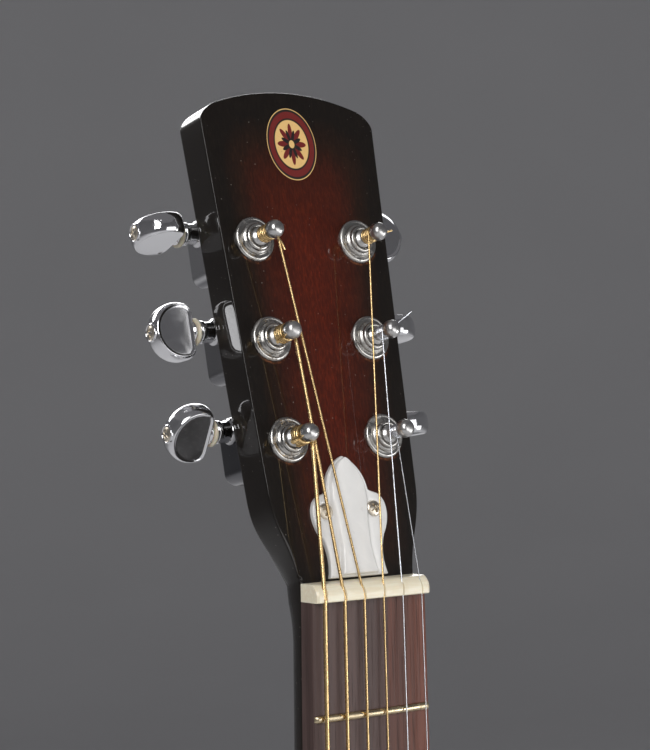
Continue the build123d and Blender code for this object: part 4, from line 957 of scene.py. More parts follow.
def makeNeck():
    shaft, head = neckSections()
    rows = []
    fullTilt = math.atan2(headNormal[2], -headNormal[1])
    for z in shaft:
        nearHeel = 1 - (z - neckShape["bodyTop"]) / neckShape["heelReach"]
        depth = np.interp(
            z, [neckShape["bodyTop"], -32], [neckShape["depthAtHeel"], neckShape["depthAtNut"]]
        )
        heel = max(nearHeel, 0.0)
        depth += (neckShape["heelDepth"] - depth) * smooth(heel, 0.02, 0.98) ** 1.6
        narrow = 0.42 * smooth(heel, 0.1, 0.8)
        square = float(smooth(z, neckShape["squareStart"], neckShape["squareEnd"]))
        tilt = fullTilt * float(smooth(z, neckShape["tiltStart"], neckShape["tiltEnd"]))
        loop = sectionLoop(
            boardHalf(z), depth, neckShape["fullness"], square, narrow, 0.05, headShape["backRound"]
        )
        deep = math.cos(tilt) * back - math.sin(tilt) * upward
        origin = np.array([0, boardHigh[1], z])
        rows.append(origin + loop[:, :1] * right + loop[:, 1:] * deep)
    for s in head:
        square = float(smooth(s, neckShape["squareStart"], neckShape["squareEnd"]))
        tilt = fullTilt * float(smooth(s + nutHigh[2], neckShape["tiltStart"], neckShape["tiltEnd"]))
        depth = np.interp(s, [0, 12], [neckShape["depthAtNut"], headShape["thickness"]])
        front = headShape["frontRound"] * float(smooth(s, 2, 12))
        loop = sectionLoop(
            float(headHalf(s)),
            depth,
            neckShape["fullness"] + 0.3 * square,
            square,
            0.0,
            front,
            headShape["backRound"],
        )
        crown = smooth(s, 100, headShape["corner"] - headShape["cornerRound"])
        drop = crownLine(loop[:, 0]) - headShape["length"] + (
            headShape["length"] - crownLine(headShape["halfHigh"] - 0.2)
        )
        deep = math.cos(tilt) * back - math.sin(tilt) * upward
        origin = onHead(0, s, 0)
        rows.append(origin + loop[:, :1] * right + loop[:, 1:] * deep + (drop * crown)[:, None] * headUp)
    # the corner and the crown: the half width closes in a quarter turn while the rows reach the crown line
    last = loop
    half = float(headHalf(head[-1]))
    cornerTurn = np.linspace(0, 1, 9)[1:]
    for turn in cornerTurn:
        inset = 5.2 * (1 - math.cos(turn * math.pi / 2))
        rise = math.sin(turn * math.pi / 2)
        scale = 1 + (0.0424 * headShape["cornerRound"] * turn - inset) / half
        across = last[:, 0] * scale
        top = crownLine(across) - headShape["frontRound"]
        level = head[-1] + crownLine(last[:, 0]) - crownLine(headShape["halfHigh"] - 0.2)
        s = level + (top - level) * rise
        rows.append(onHead(across, s, -last[:, 1]))
    finalAcross = across
    middle = headShape["thickness"] / 2
    for bend in np.linspace(0, np.pi / 2, 5)[1:]:
        shrink = 1 - headShape["frontRound"] * (1 - math.cos(bend)) / middle
        depth = middle + (last[:, 1] - middle) * shrink
        s = crownLine(finalAcross) - headShape["frontRound"] * (1 - math.sin(bend))
        rows.append(onHead(finalAcross * (1 - 0.012 * (1 - math.cos(bend))), s, -depth))
    rows.append(onHead(finalAcross * 0.985, crownLine(finalAcross), -middle))
    grid = np.stack(rows)
    heelEnd = np.broadcast_to(grid[0].mean(0), grid[0].shape)[None]
    parts = [shell(np.concatenate([heelEnd, grid]))]
    # the tongue under the board's end
    z = np.linspace(neckShape["bodyTop"] - 0.2, boardLow[2] + 2, 12)
    half = boardHalf(z) - 1
    depth = boxOf("soundboard")[0][1] - 0.02
    box = np.array([(-1, boardHigh[1] + 0.02), (1, boardHigh[1] + 0.02), (1, depth), (-1, depth)])
    tongue = np.stack(
        [
            np.stack(
                [
                    half[:, None] * box[:, 0],
                    np.broadcast_to(box[:, 1], (12, 4)),
                    np.broadcast_to(z[:, None], (12, 4)),
                ],
                -1,
            ),
        ],
    )[0]
    cap = np.broadcast_to(tongue[-1].mean(0), tongue[-1].shape)[None]
    cap0 = np.broadcast_to(tongue[0].mean(0), tongue[0].shape)[None]
    parts.append(shell(np.concatenate([cap0, tongue, cap])))
    return makePiece(
        "neckWood", parts, finishes["neck"], replaces=["neck"], crease=50
    )


# Height of the headstock's top arc across the headstock.
def crownLine(x):
    return headShape["crownCentre"] + np.sqrt(headShape["crownRadius"] ** 2 - np.asarray(x, float) ** 2)


boardShape = {"radius": 305.0, "edge": 0.45, "joint": 12, "scale": 635.0, "frets": 19}


# The playing surface: an arc across the board, its crown at y 0.
def boardTop(x):
    return boardShape["radius"] - np.sqrt(boardShape["radius"] ** 2 - x**2)


def fretPlace(number):
    return -boardShape["scale"] * (1 - 2 ** (-number / 12))


def makeFingerboard():
    z = np.linspace(boardLow[2], -0.02, 90)
    across = np.sin(np.linspace(-np.pi / 2, np.pi / 2, 41))
    rows = []
    for place in z:
        half = float(boardHalf(place))
        x = across * half
        y = boardTop(x)
        edge = boardShape["edge"] * np.clip(
            (np.abs(x) - (half - boardShape["edge"])) / boardShape["edge"], 0, 1
        ) ** 2
        top = np.stack([x, y + edge, np.full_like(x, place)], -1)
        low = np.array([[half, boardHigh[1], place], [-half, boardHigh[1], place]])
        rows.append(np.concatenate([top, low]))
    grid = np.stack(rows)
    ends = [np.broadcast_to(grid[k].mean(0), grid[k].shape)[None] for k in (0, -1)]
    board = shell(np.concatenate([ends[0], grid, ends[1]]))
    makePiece(
        "fingerboardWood",
        [board],
        finishes["rosewood"],
        replaces=["fingerboard"],
        crease=40,
    )
    dots = []
    places = [(0, fret) for fret in (5, 7, 9, 15, 17)] + [
        (-9, boardShape["joint"]), (9, boardShape["joint"])
    ]
    profile = np.array([(0, 0.03), (1.5, 0.03), (2.7, 0.025), (3.0, 0.0), (3.0, -1.2), (0, -1.2)])
    for x, fret in places:
        middle = (fretPlace(fret) + fretPlace(fret - 1)) / 2
        axis = np.array([x / boardShape["radius"], -1, 0])
        dots.append(turned(profile, (x, float(boardTop(np.array(x))), middle), axis, upward, 40))
    makePiece("boardDots", dots, finishes["pearl"], replaces=["fret_markers"])


# Each fret is a low oval crown carried across the board, its ends bevelled down.
def makeFrets():
    wires = []
    angle = np.linspace(0, np.pi, 13)
    crown = np.stack([1.2 * np.cos(angle), 1.1 * np.sin(angle) ** 0.8], -1)
    crown = np.concatenate([crown, [(-1.2, -0.4), (1.2, -0.4)]])
    for number in range(1, boardShape["frets"] + 1):
        z = fretPlace(number)
        half = float(boardHalf(z)) - 0.15
        across = np.concatenate(
            [
                [-half, -half + 0.35, -half + 0.7],
                np.linspace(-half + 1.2, half - 1.2, 24),
                [half - 0.7, half - 0.35, half],
            ],
        )
        height = np.clip((half - np.abs(across)) / 0.9, 0.12, 1) ** 0.7
        y = boardTop(across)[:, None] - crown[:, 1] * height[:, None]
        grid = np.stack(
            [np.broadcast_to(across[:, None], y.shape), y, z + crown[:, 0] * (0.6 + 0.4 * height[:, None])],
            -1,
        )
        ends = [np.broadcast_to(grid[k].mean(0), grid[k].shape)[None] for k in (0, -1)]
        wires.append(shell(np.concatenate([ends[0], grid, ends[1]])))
    makePiece("fretWires", wires, finishes["fretWire"], replaces=["frets"], crease=60)


stringLayout = {
    "radius": {1: 0.15, 2: 0.21, 3: 0.31, 4: 0.41, 5: 0.54, 6: 0.68},
    "atNut": 37.6,
    "atSaddle": 53.0,
    "nutPoint": (-1.28, 0.9),
    "saddleTop": -7.0,
    "saddleZ": -635.0,
    "ballY": 2.6,
    "ballZ": -744.5,
    "waist": 1.95,
    "wrapTop": 10.0,
    "wrapLow": 4.8,
    "turns": {1: 9.4, 2: 8.4, 3: 6.6, 4: 5.2, 5: 4.1, 6: 3.3},
    "pitch": {3: 0.26, 4: 0.33, 5: 0.4, 6: 0.46},
}


def stringX(number, spread):
    return spread / 2 - (number - 1) * spread / 5


def nutPoint(number):
    return np.array([stringX(number, stringLayout["atNut"]), *stringLayout["nutPoint"]])


# Where a string meets the inner side of its post.
def postPoint(number, n):
    post = posts[number]
    radius = stringLayout["waist"] + stringLayout["radius"][number]
    return onHead(post["x"] - post["side"] * radius, post["s"], n)


# A bone block whose top is a height over (x, z): a flat, a rounded back and one slot for each string.
def makeNut():
    x = np.unique(
        np.concatenate(
            [np.linspace(nutLow[0], nutHigh[0], 60)] + [
                nutPoint(k)[0] + np.linspace(-2.2, 2.2, 60) for k in strings
            ],
        ),
    )
    x = x[(x >= nutLow[0]) & (x <= nutHigh[0])]
    edge = 0.5
    z = np.concatenate(
        [
            np.linspace(0, edge, 5),
            np.linspace(edge + 0.2, nutHigh[2] - edge, 30),
            np.linspace(nutHigh[2] - 0.3, nutHigh[2], 5),
        ],
    )
    gridX, gridZ = np.meshgrid(x, z, indexing="ij")
    top = nutLow[1] * np.ones_like(gridX)
    top = top + 2.5 * np.clip((gridZ - 1.7) / (nutHigh[2] - 1.7), 0, 1) ** 2.2
    fromEnd = np.minimum(gridX - nutLow[0], nutHigh[0] - gridX)
    fromFace = np.minimum(gridZ, nutHigh[2] - gridZ)
    top = top + edge * (1 - np.sqrt(np.clip(1 - (1 - np.clip(fromEnd / edge, 0, 1)) ** 2, 0, 1)))
    top = top + edge * (1 - np.sqrt(np.clip(1 - (1 - np.clip(fromFace / edge, 0, 1)) ** 2, 0, 1)))
    for number in strings:
        crest, post = nutPoint(number), postPoint(number, stringLayout["wrapTop"])
        slope = (post[0] - crest[0]) / (post[2] - crest[2]) * (gridZ > crest[2])
        fall = (post[1] - crest[1]) / (post[2] - crest[2]) * (gridZ > crest[2])
        centre = crest[0] + slope * (gridZ - crest[2])
        radius = stringLayout["radius"][number] + 0.04
        floor = crest[1] + fall * (gridZ - crest[2])
        inSlot = np.abs(gridX - centre)
        groove = floor + np.sqrt(np.clip(radius**2 - inSlot**2, 0, None))
        top = np.where(inSlot < radius, np.maximum(top, groove), top)
    low = np.full_like(gridX, nutHigh[1])
    loop = np.concatenate(
        [np.stack([gridX, top, gridZ], -1), np.stack([gridX, low, gridZ], -1)[:, ::-1]], 1
    )
    ends = [np.broadcast_to(loop[k].mean(0), loop[k].shape)[None] for k in (0, -1)]
    nut = shell(np.concatenate([ends[0], loop, ends[1]]))
    makePiece("boneNut", [nut], finishes["bone"], replaces=["nut"], crease=30)


# A screw head as a height over a disc: a dome with a cross pressed in, and a short skirt below.
def crossHead(centre, axis, side, radius, rise, recess, armWidth, armLength, skirt=0.5, steps=30):
    axis = np.asarray(axis, float) / np.linalg.norm(axis)
    other = np.cross(axis, side)
    a, b = np.meshgrid(np.linspace(-1, 1, steps), np.linspace(-1, 1, steps), indexing="ij")
    discA, discB = a * np.sqrt(1 - b**2 / 2), b * np.sqrt(1 - a**2 / 2)
    fromMiddle = np.clip(np.hypot(discA, discB), 0, 1)
    dome = rise * np.sqrt(np.clip(1 - fromMiddle**2 * 0.96, 0, 1))
    narrow = np.minimum(np.abs(discA), np.abs(discB)) * radius
    long = np.maximum(np.abs(discA), np.abs(discB)) * radius
    cross = (1 - smooth(narrow, armWidth * 0.7, armWidth * 1.25)) * (
        1 - smooth(long, armLength * 0.8, armLength * 1.15)
    )
    height = dome - recess * cross
    rim = [height * 0 - skirt, height]
    grid = np.stack([discA * radius, discB * radius, height], -1)
    bottom = np.stack([discA * radius, discB * radius, rim[0]], -1)[:, ::-1]
    loop = np.concatenate([grid, bottom], 1)
    place = np.asarray(centre, float) + loop[..., :1] * side + loop[..., 1:2] * other + loop[..., 2:] * axis
    return shell(place)


machine = {
    "washer": 7.3,
    "bushFlange": 5.45,
    "bushBore": 3.06,
    "washerBore": 4.98,
    "postHead": 2.95,
    "domeFoot": 12.0,
    "domeHeight": 2.6,
    "domePower": 0.72,
    "caseHalf": 8.5,
    "caseLow": -9.5,
    "caseHigh": 12.5,
    "caseDepth": 12.2,
    "lidInset": 1.9,
    "shaftBore": 1.95,
    "buttonShoulder": 21.0,
    "screwInset": 0.62,
    "rimBulge": 0.72,
    "rimPower": 3.2,
    "buttonStart": 16.5,
    "buttonReach": 32.2,
    "buttonHalf": 9.5,
    "buttonThick": 7.0,
    "screwHead": 2.4,
}


def makeWashersAndBushings():
    washers, bushes = [], []
    wide, flange = machine["washer"], machine["bushFlange"]
    washerProfile = [
        (machine["washerBore"], 0.02),
        (wide, 0.02, 0.15),
        (wide, 0.7, 0.45),
        (6.6, 1.3, 0.5),
        (6.15, 1.2, 0.2),
        (machine["washerBore"], 1.3),
    ]
    bushProfile = [
        (machine["bushBore"], 1.3),
        (flange, 1.32, 0.1),
        (flange - 0.1, 1.95, 0.35),
        (4.75, 2.35, 0.3),
        (4.55, 2.45, 0.15),
        (4.35, 3.3, 0.35),
        (3.75, 3.6, 0.25),
        (3.35, 3.5, 0.15),
        (machine["bushBore"], 3.1),
        (machine["bushBore"], 1.3),
    ]
    for number in strings:
        centre = onHead(posts[number]["x"], posts[number]["s"], 0)
        washers.append(turned(rounded(washerProfile, 5), centre, headNormal, sides=96))
        bushes.append(turned(rounded(bushProfile, 5), centre, headNormal, sides=96))
    chrome = finishes["wornChrome"]
    makePiece("flangeWashers", washers, chrome, replaces=["tuner_washers"], crease=50)
    makePiece("bushings", bushes, chrome, replaces=["tuner_bushings"], crease=40)


def makePosts():
    profile = rounded(
        [
            (0, -22.0),
            (1.9, -22.0, 0.2),
            (2.0, -17.4),
            (3.0, -17.4, 0.2),
            (3.0, 3.75, 0.3),
            (2.5, 4.2, 0.3),
            (1.93, 4.6, 0.15),
            (1.93, 10.2, 0.15),
            (2.6, 10.65, 0.3),
            (2.95, 11.2, 0.3),
        ],
        5,
    )
    t = np.linspace(0, np.pi / 2, 14)[:, None]
    domeLevel = machine["domeFoot"] + machine["domeHeight"] * np.sin(t)
    dome = np.concatenate([machine["postHead"] * np.cos(t) ** machine["domePower"], domeLevel], 1)
    profile = np.concatenate([profile, dome])
    for number in strings:
        post = posts[number]
        centre = onHead(post["x"], post["s"], 0)
        shells = [turned(profile, centre, headNormal, sides=72)]
        makePiece(
            f"stringPost{number}",
            shells,
            finishes["domeNickel"],
            post["post"],
            [f"string_post_{number}"],
            40,
        )


# Kidney outline (out, along): straight inner end, short shoulders, then one wide round end.
def buttonOutline():
    start, half = machine["buttonStart"] + 0.5, machine["buttonHalf"]
    shoulder = (machine["buttonShoulder"], half)
    lower = bezier([(start, 4.6), (start, 7.2), (18.0, half - 0.35), shoulder], 16)
    centreOut = (machine["buttonReach"] ** 2 - shoulder[0] ** 2 - half**2) / (
        2 * (machine["buttonReach"] - shoulder[0])
    )
    radius = machine["buttonReach"] - centreOut
    first = math.atan2(half, shoulder[0] - centreOut)
    angle = np.linspace(first, -first, 90)[1:-1]
    outer = np.stack([centreOut + radius * np.cos(angle), radius * np.sin(angle)], -1)
    loop = np.concatenate([lower, outer, lower[::-1] * [1, -1]])
    return resample(loop[::-1], 220)


def makeButtons():
    outline = buttonOutline()
    halfThick = machine["buttonThick"] / 2
    # from one face over the convex rim to the other: a small rolled edge, then a barrel
    barrel = np.linspace(-1, 1, 15)
    bulge, power = machine["rimBulge"], machine["rimPower"]
    rim = [(bulge * abs(k) ** power + 0.12, 0.93 * halfThick * k) for k in barrel]
    edge = [
        (2.3, -halfThick + 0.3),
        (1.62, -halfThick + 0.24),
        (1.38, -halfThick + 0.06),
        (1.2, -halfThick),
        (1.02, -halfThick + 0.05),
    ]
    rows = edge + rim + [(inset, -height) for inset, height in edge[::-1]]
    for number in strings:
        post = posts[number]
        face = buttonFace(number)
        out = post["side"] * right
        along = np.cross(face, out)
        centre = onHead(post["x"], post["wormS"], post["wormN"])

        def place(a, b, c):
            return centre + a[..., None] * out + b[..., None] * along + c[..., None] * face

        knob = slab(outline, rows, place)
        boss = rounded(
            [
                (machine["shaftBore"], 16.48),
                (3.5, 16.48, 0.35),
                (3.75, 17.0, 0.35),
                (3.3, 17.7, 0.3),
                (3.0, 18.2),
                (machine["shaftBore"], 18.2),
            ], 4
        )
        screw = crossHead(
            centre + (machine["buttonReach"] - machine["screwInset"]) * out,
            out,
            along,
            machine["screwHead"],
            0.95,
            0.75,
            0.3,
            1.35,
        )
        seat = rounded(
            [(2.42, 31.2), (2.42, 32.0, 0.15), (2.62, 32.28, 0.15), (2.95, 32.15, 0.2), (3.15, 31.2)], 4
        )
        shells = [knob, turned(boss, centre, out, face), turned(seat, centre, out, face)]
        name = post["button"]
        node = f"tuner_button_{number}"
        makePiece(f"button{number}", shells, finishes["chrome"], name, [node], 46)
        makePiece(f"buttonScrew{number}", [screw], finishes["screwNickel"], name, [node], 42)
        ring = rounded(
            [
                (machine["shaftBore"], 14.7),
                (3.7, 14.7, 0.2),
                (4.0, 14.95, 0.25),
                (4.0, 15.2, 0.25),
                (3.7, 15.42, 0.2),
                (machine["shaftBore"], 15.42),
            ], 4
        )
        nylon = rounded(
            [
                (machine["shaftBore"], 15.46),
                (4.35, 15.46, 0.2),
                (4.6, 15.8, 0.3),
                (4.6, 16.15, 0.3),
                (4.35, 16.44, 0.2),
                (machine["shaftBore"], 16.44),
            ],
            4,
        )
        makePiece(
            f"buttonRing{number}",
            [turned(ring, centre, out, face)],
            finishes["chrome"],
            name,
            [node],
        )
        makePiece(
            f"nylonWasher{number}",
            [turned(nylon, centre, out, face)],
            finishes["nylon"],
            name,
            [node],
        )


buttonTurns = {1: 85.0, 2: 90.0, 3: 5.0, 4: -80.0, 5: 0.0, 6: -40.0}


# The button's flat face points out of the headstock, turned about the worm shaft.
def buttonFace(number):
    turn = math.radians(buttonTurns[number])
    y, z = headNormal[1], headNormal[2]
    return np.array(
        [0.0, y * math.cos(turn) + z * math.sin(turn), -y * math.sin(turn) + z * math.cos(turn)]
    )


def roundedBox(halfWide, low, high, corner, count=96):
    quarter = np.linspace(0, np.pi / 2, 9)
    arc = np.stack([np.cos(quarter), np.sin(quarter)], -1) * corner
    cornerPlaces = [
        (halfWide - corner, high - corner),
        (-halfWide + corner, high - corner),
        (-halfWide + corner, low + corner),
        (halfWide - corner, low + corner),
    ]
    loop = []
    for turn, place in enumerate(cornerPlaces):
        c, s = math.cos(turn * math.pi / 2), math.sin(turn * math.pi / 2)
        loop.append(arc @ np.array([[c, s], [-s, c]]) + place)
    return resample(np.concatenate(loop), count)


def makeHousings():
    shells, lids, screws = [], [], []
    outline = roundedBox(machine["caseHalf"], machine["caseLow"], machine["caseHigh"], 4.0)
    thick = headShape["thickness"]
    inset = machine["lidInset"]
    rows = edgeRows(-thick - machine["caseDepth"] - 0.9, -thick - 0.02, 1.6, 0.1)
    lidOutline = roundedBox(
        machine["caseHalf"] - inset, machine["caseLow"] + inset, machine["caseHigh"] - inset, 2.6
    )
    lidRows = edgeRows(-thick - machine["caseDepth"] - 1.25, -thick - machine["caseDepth"], 0.3, 0.05)
    lug = roundedBox(3.2, machine["caseLow"] - 5.7, machine["caseLow"] + 2, 3.15, 60)
    lugRows = edgeRows(-thick - 1.6, -thick - 0.02, 0.5, 0.05)
    collar = rounded(
        [
            (machine["shaftBore"], 7.0),
            (4.4, 7.0),
            (4.4, 8.9, 0.4),
            (3.55, 9.5, 0.4),
            (3.35, 10.2, 0.3),
            (3.35, 12.6, 0.3),
            (3.75, 13.1, 0.2),
            (3.75, 14.3, 0.25),
            (3.5, 14.6, 0.15),
            (machine["shaftBore"], 14.6),
        ],
        4,
    )
    for number in strings:
        post = posts[number]

        def place(a, b, c):
            return onHead(post["x"] + a, post["s"] + b, c)

        out = post["side"] * right
        shells.append(slab(outline, rows, place))
        shells.append(slab(lug, lugRows, place))
        lids.append(slab(lidOutline, lidRows, place))
        shells.append(turned(collar, onHead(post["x"], post["wormS"], post["wormN"]), out, headNormal))
        lugScrew = onHead(post["x"], post["s"] + machine["caseLow"] - 2.5, -thick - 1.7)
        screws.append(crossHead(lugScrew, -headNormal, right, 2.2, 0.9, 0.8, 0.28, 1.2))
    chrome = finishes["caseChrome"]
    makePiece("tunerCases", shells, chrome, replaces=["tuner_housings"], crease=40)
    makePiece("caseLids", lids, chrome, replaces=["tuner_covers"], crease=40)
    return screws


# U runs once round; V is the length divided by the winding's pitch.
def windingUv(path, number, count):
    length = np.concatenate([[0], np.cumsum(np.linalg.norm(np.diff(path, axis=0), axis=1))])
    return np.linspace(0, 1, count + 1), length / stringLayout["pitch"].get(number, 1.0)


# A wound string's radius dips between turns of its winding.
def woundRadius(number, along, count):
    radius = stringLayout["radius"][number]
    if number not in stringLayout["pitch"]:
        return np.full((len(along), count), radius)
    around = np.arange(count) / count
    ridge = np.abs(np.sin(np.pi * (along[:, None] + around[None])))
    return radius * (0.975 + 0.025 * ridge)


# Straight runs joined by quadratic bends that start and end this far from each corner.
def smoothLine(corners, reach, steps=8):
    share = np.linspace(0, 1, steps)[:, None]
    path = [corners[0][None]]
    for before, here, after, cut in zip(corners, corners[1:], corners[2:], reach):
        start = here + (before - here) / np.linalg.norm(before - here) * cut
        end = here + (after - here) / np.linalg.norm(after - here) * cut
        path.append((1 - share) ** 2 * start + 2 * share * (1 - share) * here + share**2 * end)
    path.append(corners[-1][None])
    return np.concatenate(path)


def evenly(path, step):
    length = np.concatenate([[0], np.cumsum(np.linalg.norm(np.diff(path, axis=0), axis=1))])
    at = np.linspace(0, length[-1], max(int(length[-1] / step), 2))
    return np.stack([np.interp(at, length, path[:, k]) for k in range(3)], -1)


def makeStrings():
    for number in strings:
        radius = stringLayout["radius"][number]
        wound = number in stringLayout["pitch"]
        finish = finishes["bronze" if wound else "plainSteel"]
        level = stringLayout["wrapTop"] - radius
        meet = postPoint(number, level)
        nut = nutPoint(number)
        saddle = np.array(
            [
                stringX(number, stringLayout["atSaddle"]),
                stringLayout["saddleTop"] - radius,
                stringLayout["saddleZ"],
            ],
        )
        ball = np.array([saddle[0], stringLayout["ballY"], stringLayout["ballZ"]])
        ridgeStep = stringLayout["pitch"].get(number, 4.0) / 5
        firstFret = nut + (saddle - nut) * 0.09
        near = evenly(smoothLine([meet, nut, firstFret], [0.8]), ridgeStep if wound else 1.0)
        count = 12
        around, along = windingUv(near, number, count)
        nearShell = sweep(near, woundRadius(number, along, count), count, right, (around, along))
        far = evenly(smoothLine([firstFret, saddle, ball], [1.2]), 2.5)
        aroundFar, alongFar = windingUv(far, number, count)
        farShell = sweep(far, radius * (0.97 if wound else 1.0), count, right, (aroundFar, alongFar))
        barrel = rounded(
            [
                (0, -1.6),
                (1.9, -1.6, 0.3),
                (1.9, -0.6, 0.2),
                (1.45, 0, 0.3),
                (1.9, 0.6, 0.2),
                (1.9, 1.6, 0.3),
                (0, 1.6),
            ],
            3,
        )
        makePiece(
            f"string{number}Run", [nearShell, farShell], finish, "root", [f"string_{number}"], 70
        )
        makePiece(
            f"string{number}Ball",
            [turned(barrel, ball, right, back, 32)],
            finishes["brass"],
            "root",
            [f"string_{number}"],
        )
        makeWraps(number, level, finish)
    print("strings made")


tails = {
    6: {"leave": 205, "reach": 3.2, "lift": 0.4, "curl": 0.0},
    5: {"leave": 215, "reach": 3.6, "lift": 0.9, "curl": 0.0},
    4: {"leave": -35, "reach": 4.6, "lift": 0.5, "curl": -2.6},
    3: {"leave": 5, "reach": 5.2, "lift": 0.3, "curl": 0.5},
    2: {"leave": 30, "reach": 8.0, "lift": 3.2, "curl": 0.5},
    1: {"leave": 60, "reach": 2.0, "lift": 0.2, "curl": 0.0},
}


# Turns round the post as a helix stepping down, then a bent tail leaving the lowest turn's hole.
def makeWraps(number, level, finish):
    radius = stringLayout["radius"][number]
    post = posts[number]
    wound = number in stringLayout["pitch"]
    tail = tails[number]
    turnRadius = stringLayout["waist"] + radius
    start = 180.0 if post["side"] > 0 else 0.0
    direction = 1 if post["side"] > 0 else -1
    turns = stringLayout["turns"][number]
    angle = np.radians(np.linspace(start, start + direction * 360 * turns, int(70 * turns)))
    fall = np.linspace(level, max(level - 2 * radius * turns, stringLayout["wrapLow"] + radius), len(angle))
    loose = 1 + 0.03 * np.sin(angle * 1.7 + number)
    helix = onHead(
        post["x"] + turnRadius * loose * np.cos(angle), post["s"] + turnRadius * loose * np.sin(angle), fall
    )
    leave = math.radians(tail["leave"])
    outer = np.array([math.cos(leave), math.sin(leave)])
    curl = np.array([-outer[1], outer[0]]) * tail["curl"]
    t = np.linspace(0, 1, 26)
    reach = 1.0 + (turnRadius + tail["reach"] - 1.0) * t
    bend = t**2.2
    stub = onHead(
        post["x"] + outer[0] * reach + curl[0] * bend,
        post["s"] + outer[1] * reach + curl[1] * bend,
        level - 0.2 + tail["lift"] * t**1.5,
    )
    shells = []
    count = 12
    for path in (helix, stub):
        step = stringLayout["pitch"][number] / 5 if wound else 0.15
        path = evenly(path, step)
        around, along = windingUv(path, number, count)
        shells.append(sweep(path, woundRadius(number, along, count), count, headNormal, (around, along)))
    makePiece(f"string{number}Wraps", shells, finish, post["post"], [f"string_{number}"], 70)


coverShape = {"plate": 1.6, "ridge": 1.45, "tip": 39.0, "screw": (9.4, 21.6)}


# Bell-shaped cover: plate with rounded edge, raised spine that narrows at the waist and closes at the tip.
def makeRodCover():
    half = np.concatenate(
        [
            [[0, 0.6], [11.0, 0.6]],
            bezier([(11.3, 0.75), (10.1, 4), (10.1, 9), (12.0, 13.2)], 14),
            bezier([(12.0, 13.2), (15.0, 17.5), (15.3, 23), (12.8, 25.6)], 14)[1:],
            bezier([(12.8, 25.6), (11.3, 27.2), (9.6, 26.8), (8.2, 27.9)], 8)[1:],
            bezier([(8.2, 27.9), (7.8, 33), (4.2, 37.4), (0, coverShape["tip"])], 20)[1:],
        ]
    )
    outline = resample(np.concatenate([half, half[::-1][1:-1] * [-1, 1]]), 260)
    normal = outward(outline)
    edge = 0.55
    quarter = np.linspace(0, np.pi / 2, 5)
    rings = [(outline, 0.0)]
    rings += [
        (outline - normal * edge * (1 - math.cos(a)), coverShape["plate"] - edge * (1 - math.sin(a)))
        for a in quarter
    ]
    inner = outline - normal * edge
    spine = np.stack([np.zeros(len(outline)), np.clip(inner[:, 1], 3.0, 33.0)], -1)
    plane = []
    for ring, height in rings:
        plane.append(np.concatenate([ring, np.full((len(ring), 1), height)], 1))
    for share in np.linspace(0, 1, 40)[1:]:
        ring = inner + (spine - inner) * share
        x, s = np.abs(ring[:, 0]), ring[:, 1]
        ridgeHalf = np.interp(
            s, [0, 4, 10, 18, 25, 30, 34, 37, 39], [7.6, 6.5, 5.7, 6.0, 7.0, 6.6, 4.9, 2.6, 0.4]
        )
        rise = smooth(ridgeHalf + 0.7 - x, 0, 1.5) * smooth(s, 0.6, 1.8)
        crown = 1 - 0.22 * np.clip(x / np.maximum(ridgeHalf, 0.5), 0, 1) ** 2
        lip = 0.18 * (1 - smooth(x - ridgeHalf, 0.7, 2.2))
        height = coverShape["plate"] + coverShape["ridge"] * rise * crown - lip * (1 - rise)
        for side in (-1, 1):
            away = np.hypot(ring[:, 0] - side * coverShape["screw"][0], s - coverShape["screw"][1])
            height -= 0.35 * (1 - smooth(away, 2.5, 3.1))
        plane.append(np.concatenate([ring, height[:, None]], 1))
    grid = np.stack(plane)
    bottom = np.concatenate([spine, np.full((len(spine), 1), 0.02)], 1)
    grid = np.concatenate([bottom[None], grid])
    grid[:2, :, 2] = 0.02
    cover = shell(onHead(grid[..., 0], grid[..., 1], grid[..., 2]))
    makePiece(
        "trussRodCover",
        [cover],
        finishes["whitePlastic"],
        replaces=["truss_rod_cover"],
        crease=55,
    )
    screws = []
    for side in (-1, 1):
        place = onHead(side * coverShape["screw"][0], coverShape["screw"][1], coverShape["plate"] - 0.25)
        screws.append(
            crossHead(
                place,
                headNormal,
                np.cos(0.4 * side) * right + np.sin(0.4 * side) * headUp,
                2.55,
                0.95,
                0.85,
                0.34,
                1.45,
            ),
        )
    return screws


emblemShape = {"s": 142.5, "halfWide": 9.6, "halfHigh": 12.2, "thick": 0.06}


# An oval disc in polar rows: U is the angle and V the share of the way out.
def makeEmblemPiece():
    count, rings = 120, 24
    angle = np.arange(count) * 2 * np.pi / count
    share = np.linspace(0, 1, rings)
    x = emblemShape["halfWide"] * share[:, None] * np.cos(angle)
    s = emblemShape["s"] + emblemShape["halfHigh"] * share[:, None] * np.sin(angle)
    n = np.broadcast_to(emblemShape["thick"] * (1 - share[:, None] ** 12 * 0.6), x.shape)
    top = onHead(x, s, n)
    rimX, rimS = x[-1], s[-1]
    under = onHead(rimX, rimS, 0.005)[None]
    closing = onHead(np.zeros(count), np.full(count, emblemShape["s"]), 0.005)[None]
    grid = np.concatenate([top, under, closing])
    uv = np.linspace(0, 1, count + 1), np.concatenate([share, [1.0, 1.0]])
    makePiece("emblem", [shell(grid, uv=uv)], finishes["emblem"], "root", (), 60)

dress = {
    "soundboard": "body",
    "back_plate": "body",
    "sides": "sides",
    "binding": "cream",
    "linings": "rawWood",
    "end_blocks": "rawWood",
    "braces": "rawWood",
    "soundwell": "rawWood",
    "cover_plate": "coverChrome",
    "palm_rest": "coverChrome",
    "resonator_cone": "spunAluminium",
    "spider_bridge": "castAluminium",
    "tension_screw": "darkSteel",
    "saddles": "maple",
    "tailpiece": "coverChrome",
    "strap_buttons": "screwNickel",
    "truss_rod": "darkSteel",
    "truss_rod_nut": "brass",
}
for number in strings:
    dress[f"post_gear_{number}"] = "brass"
    dress[f"worm_shaft_{number}"] = "darkSteel"


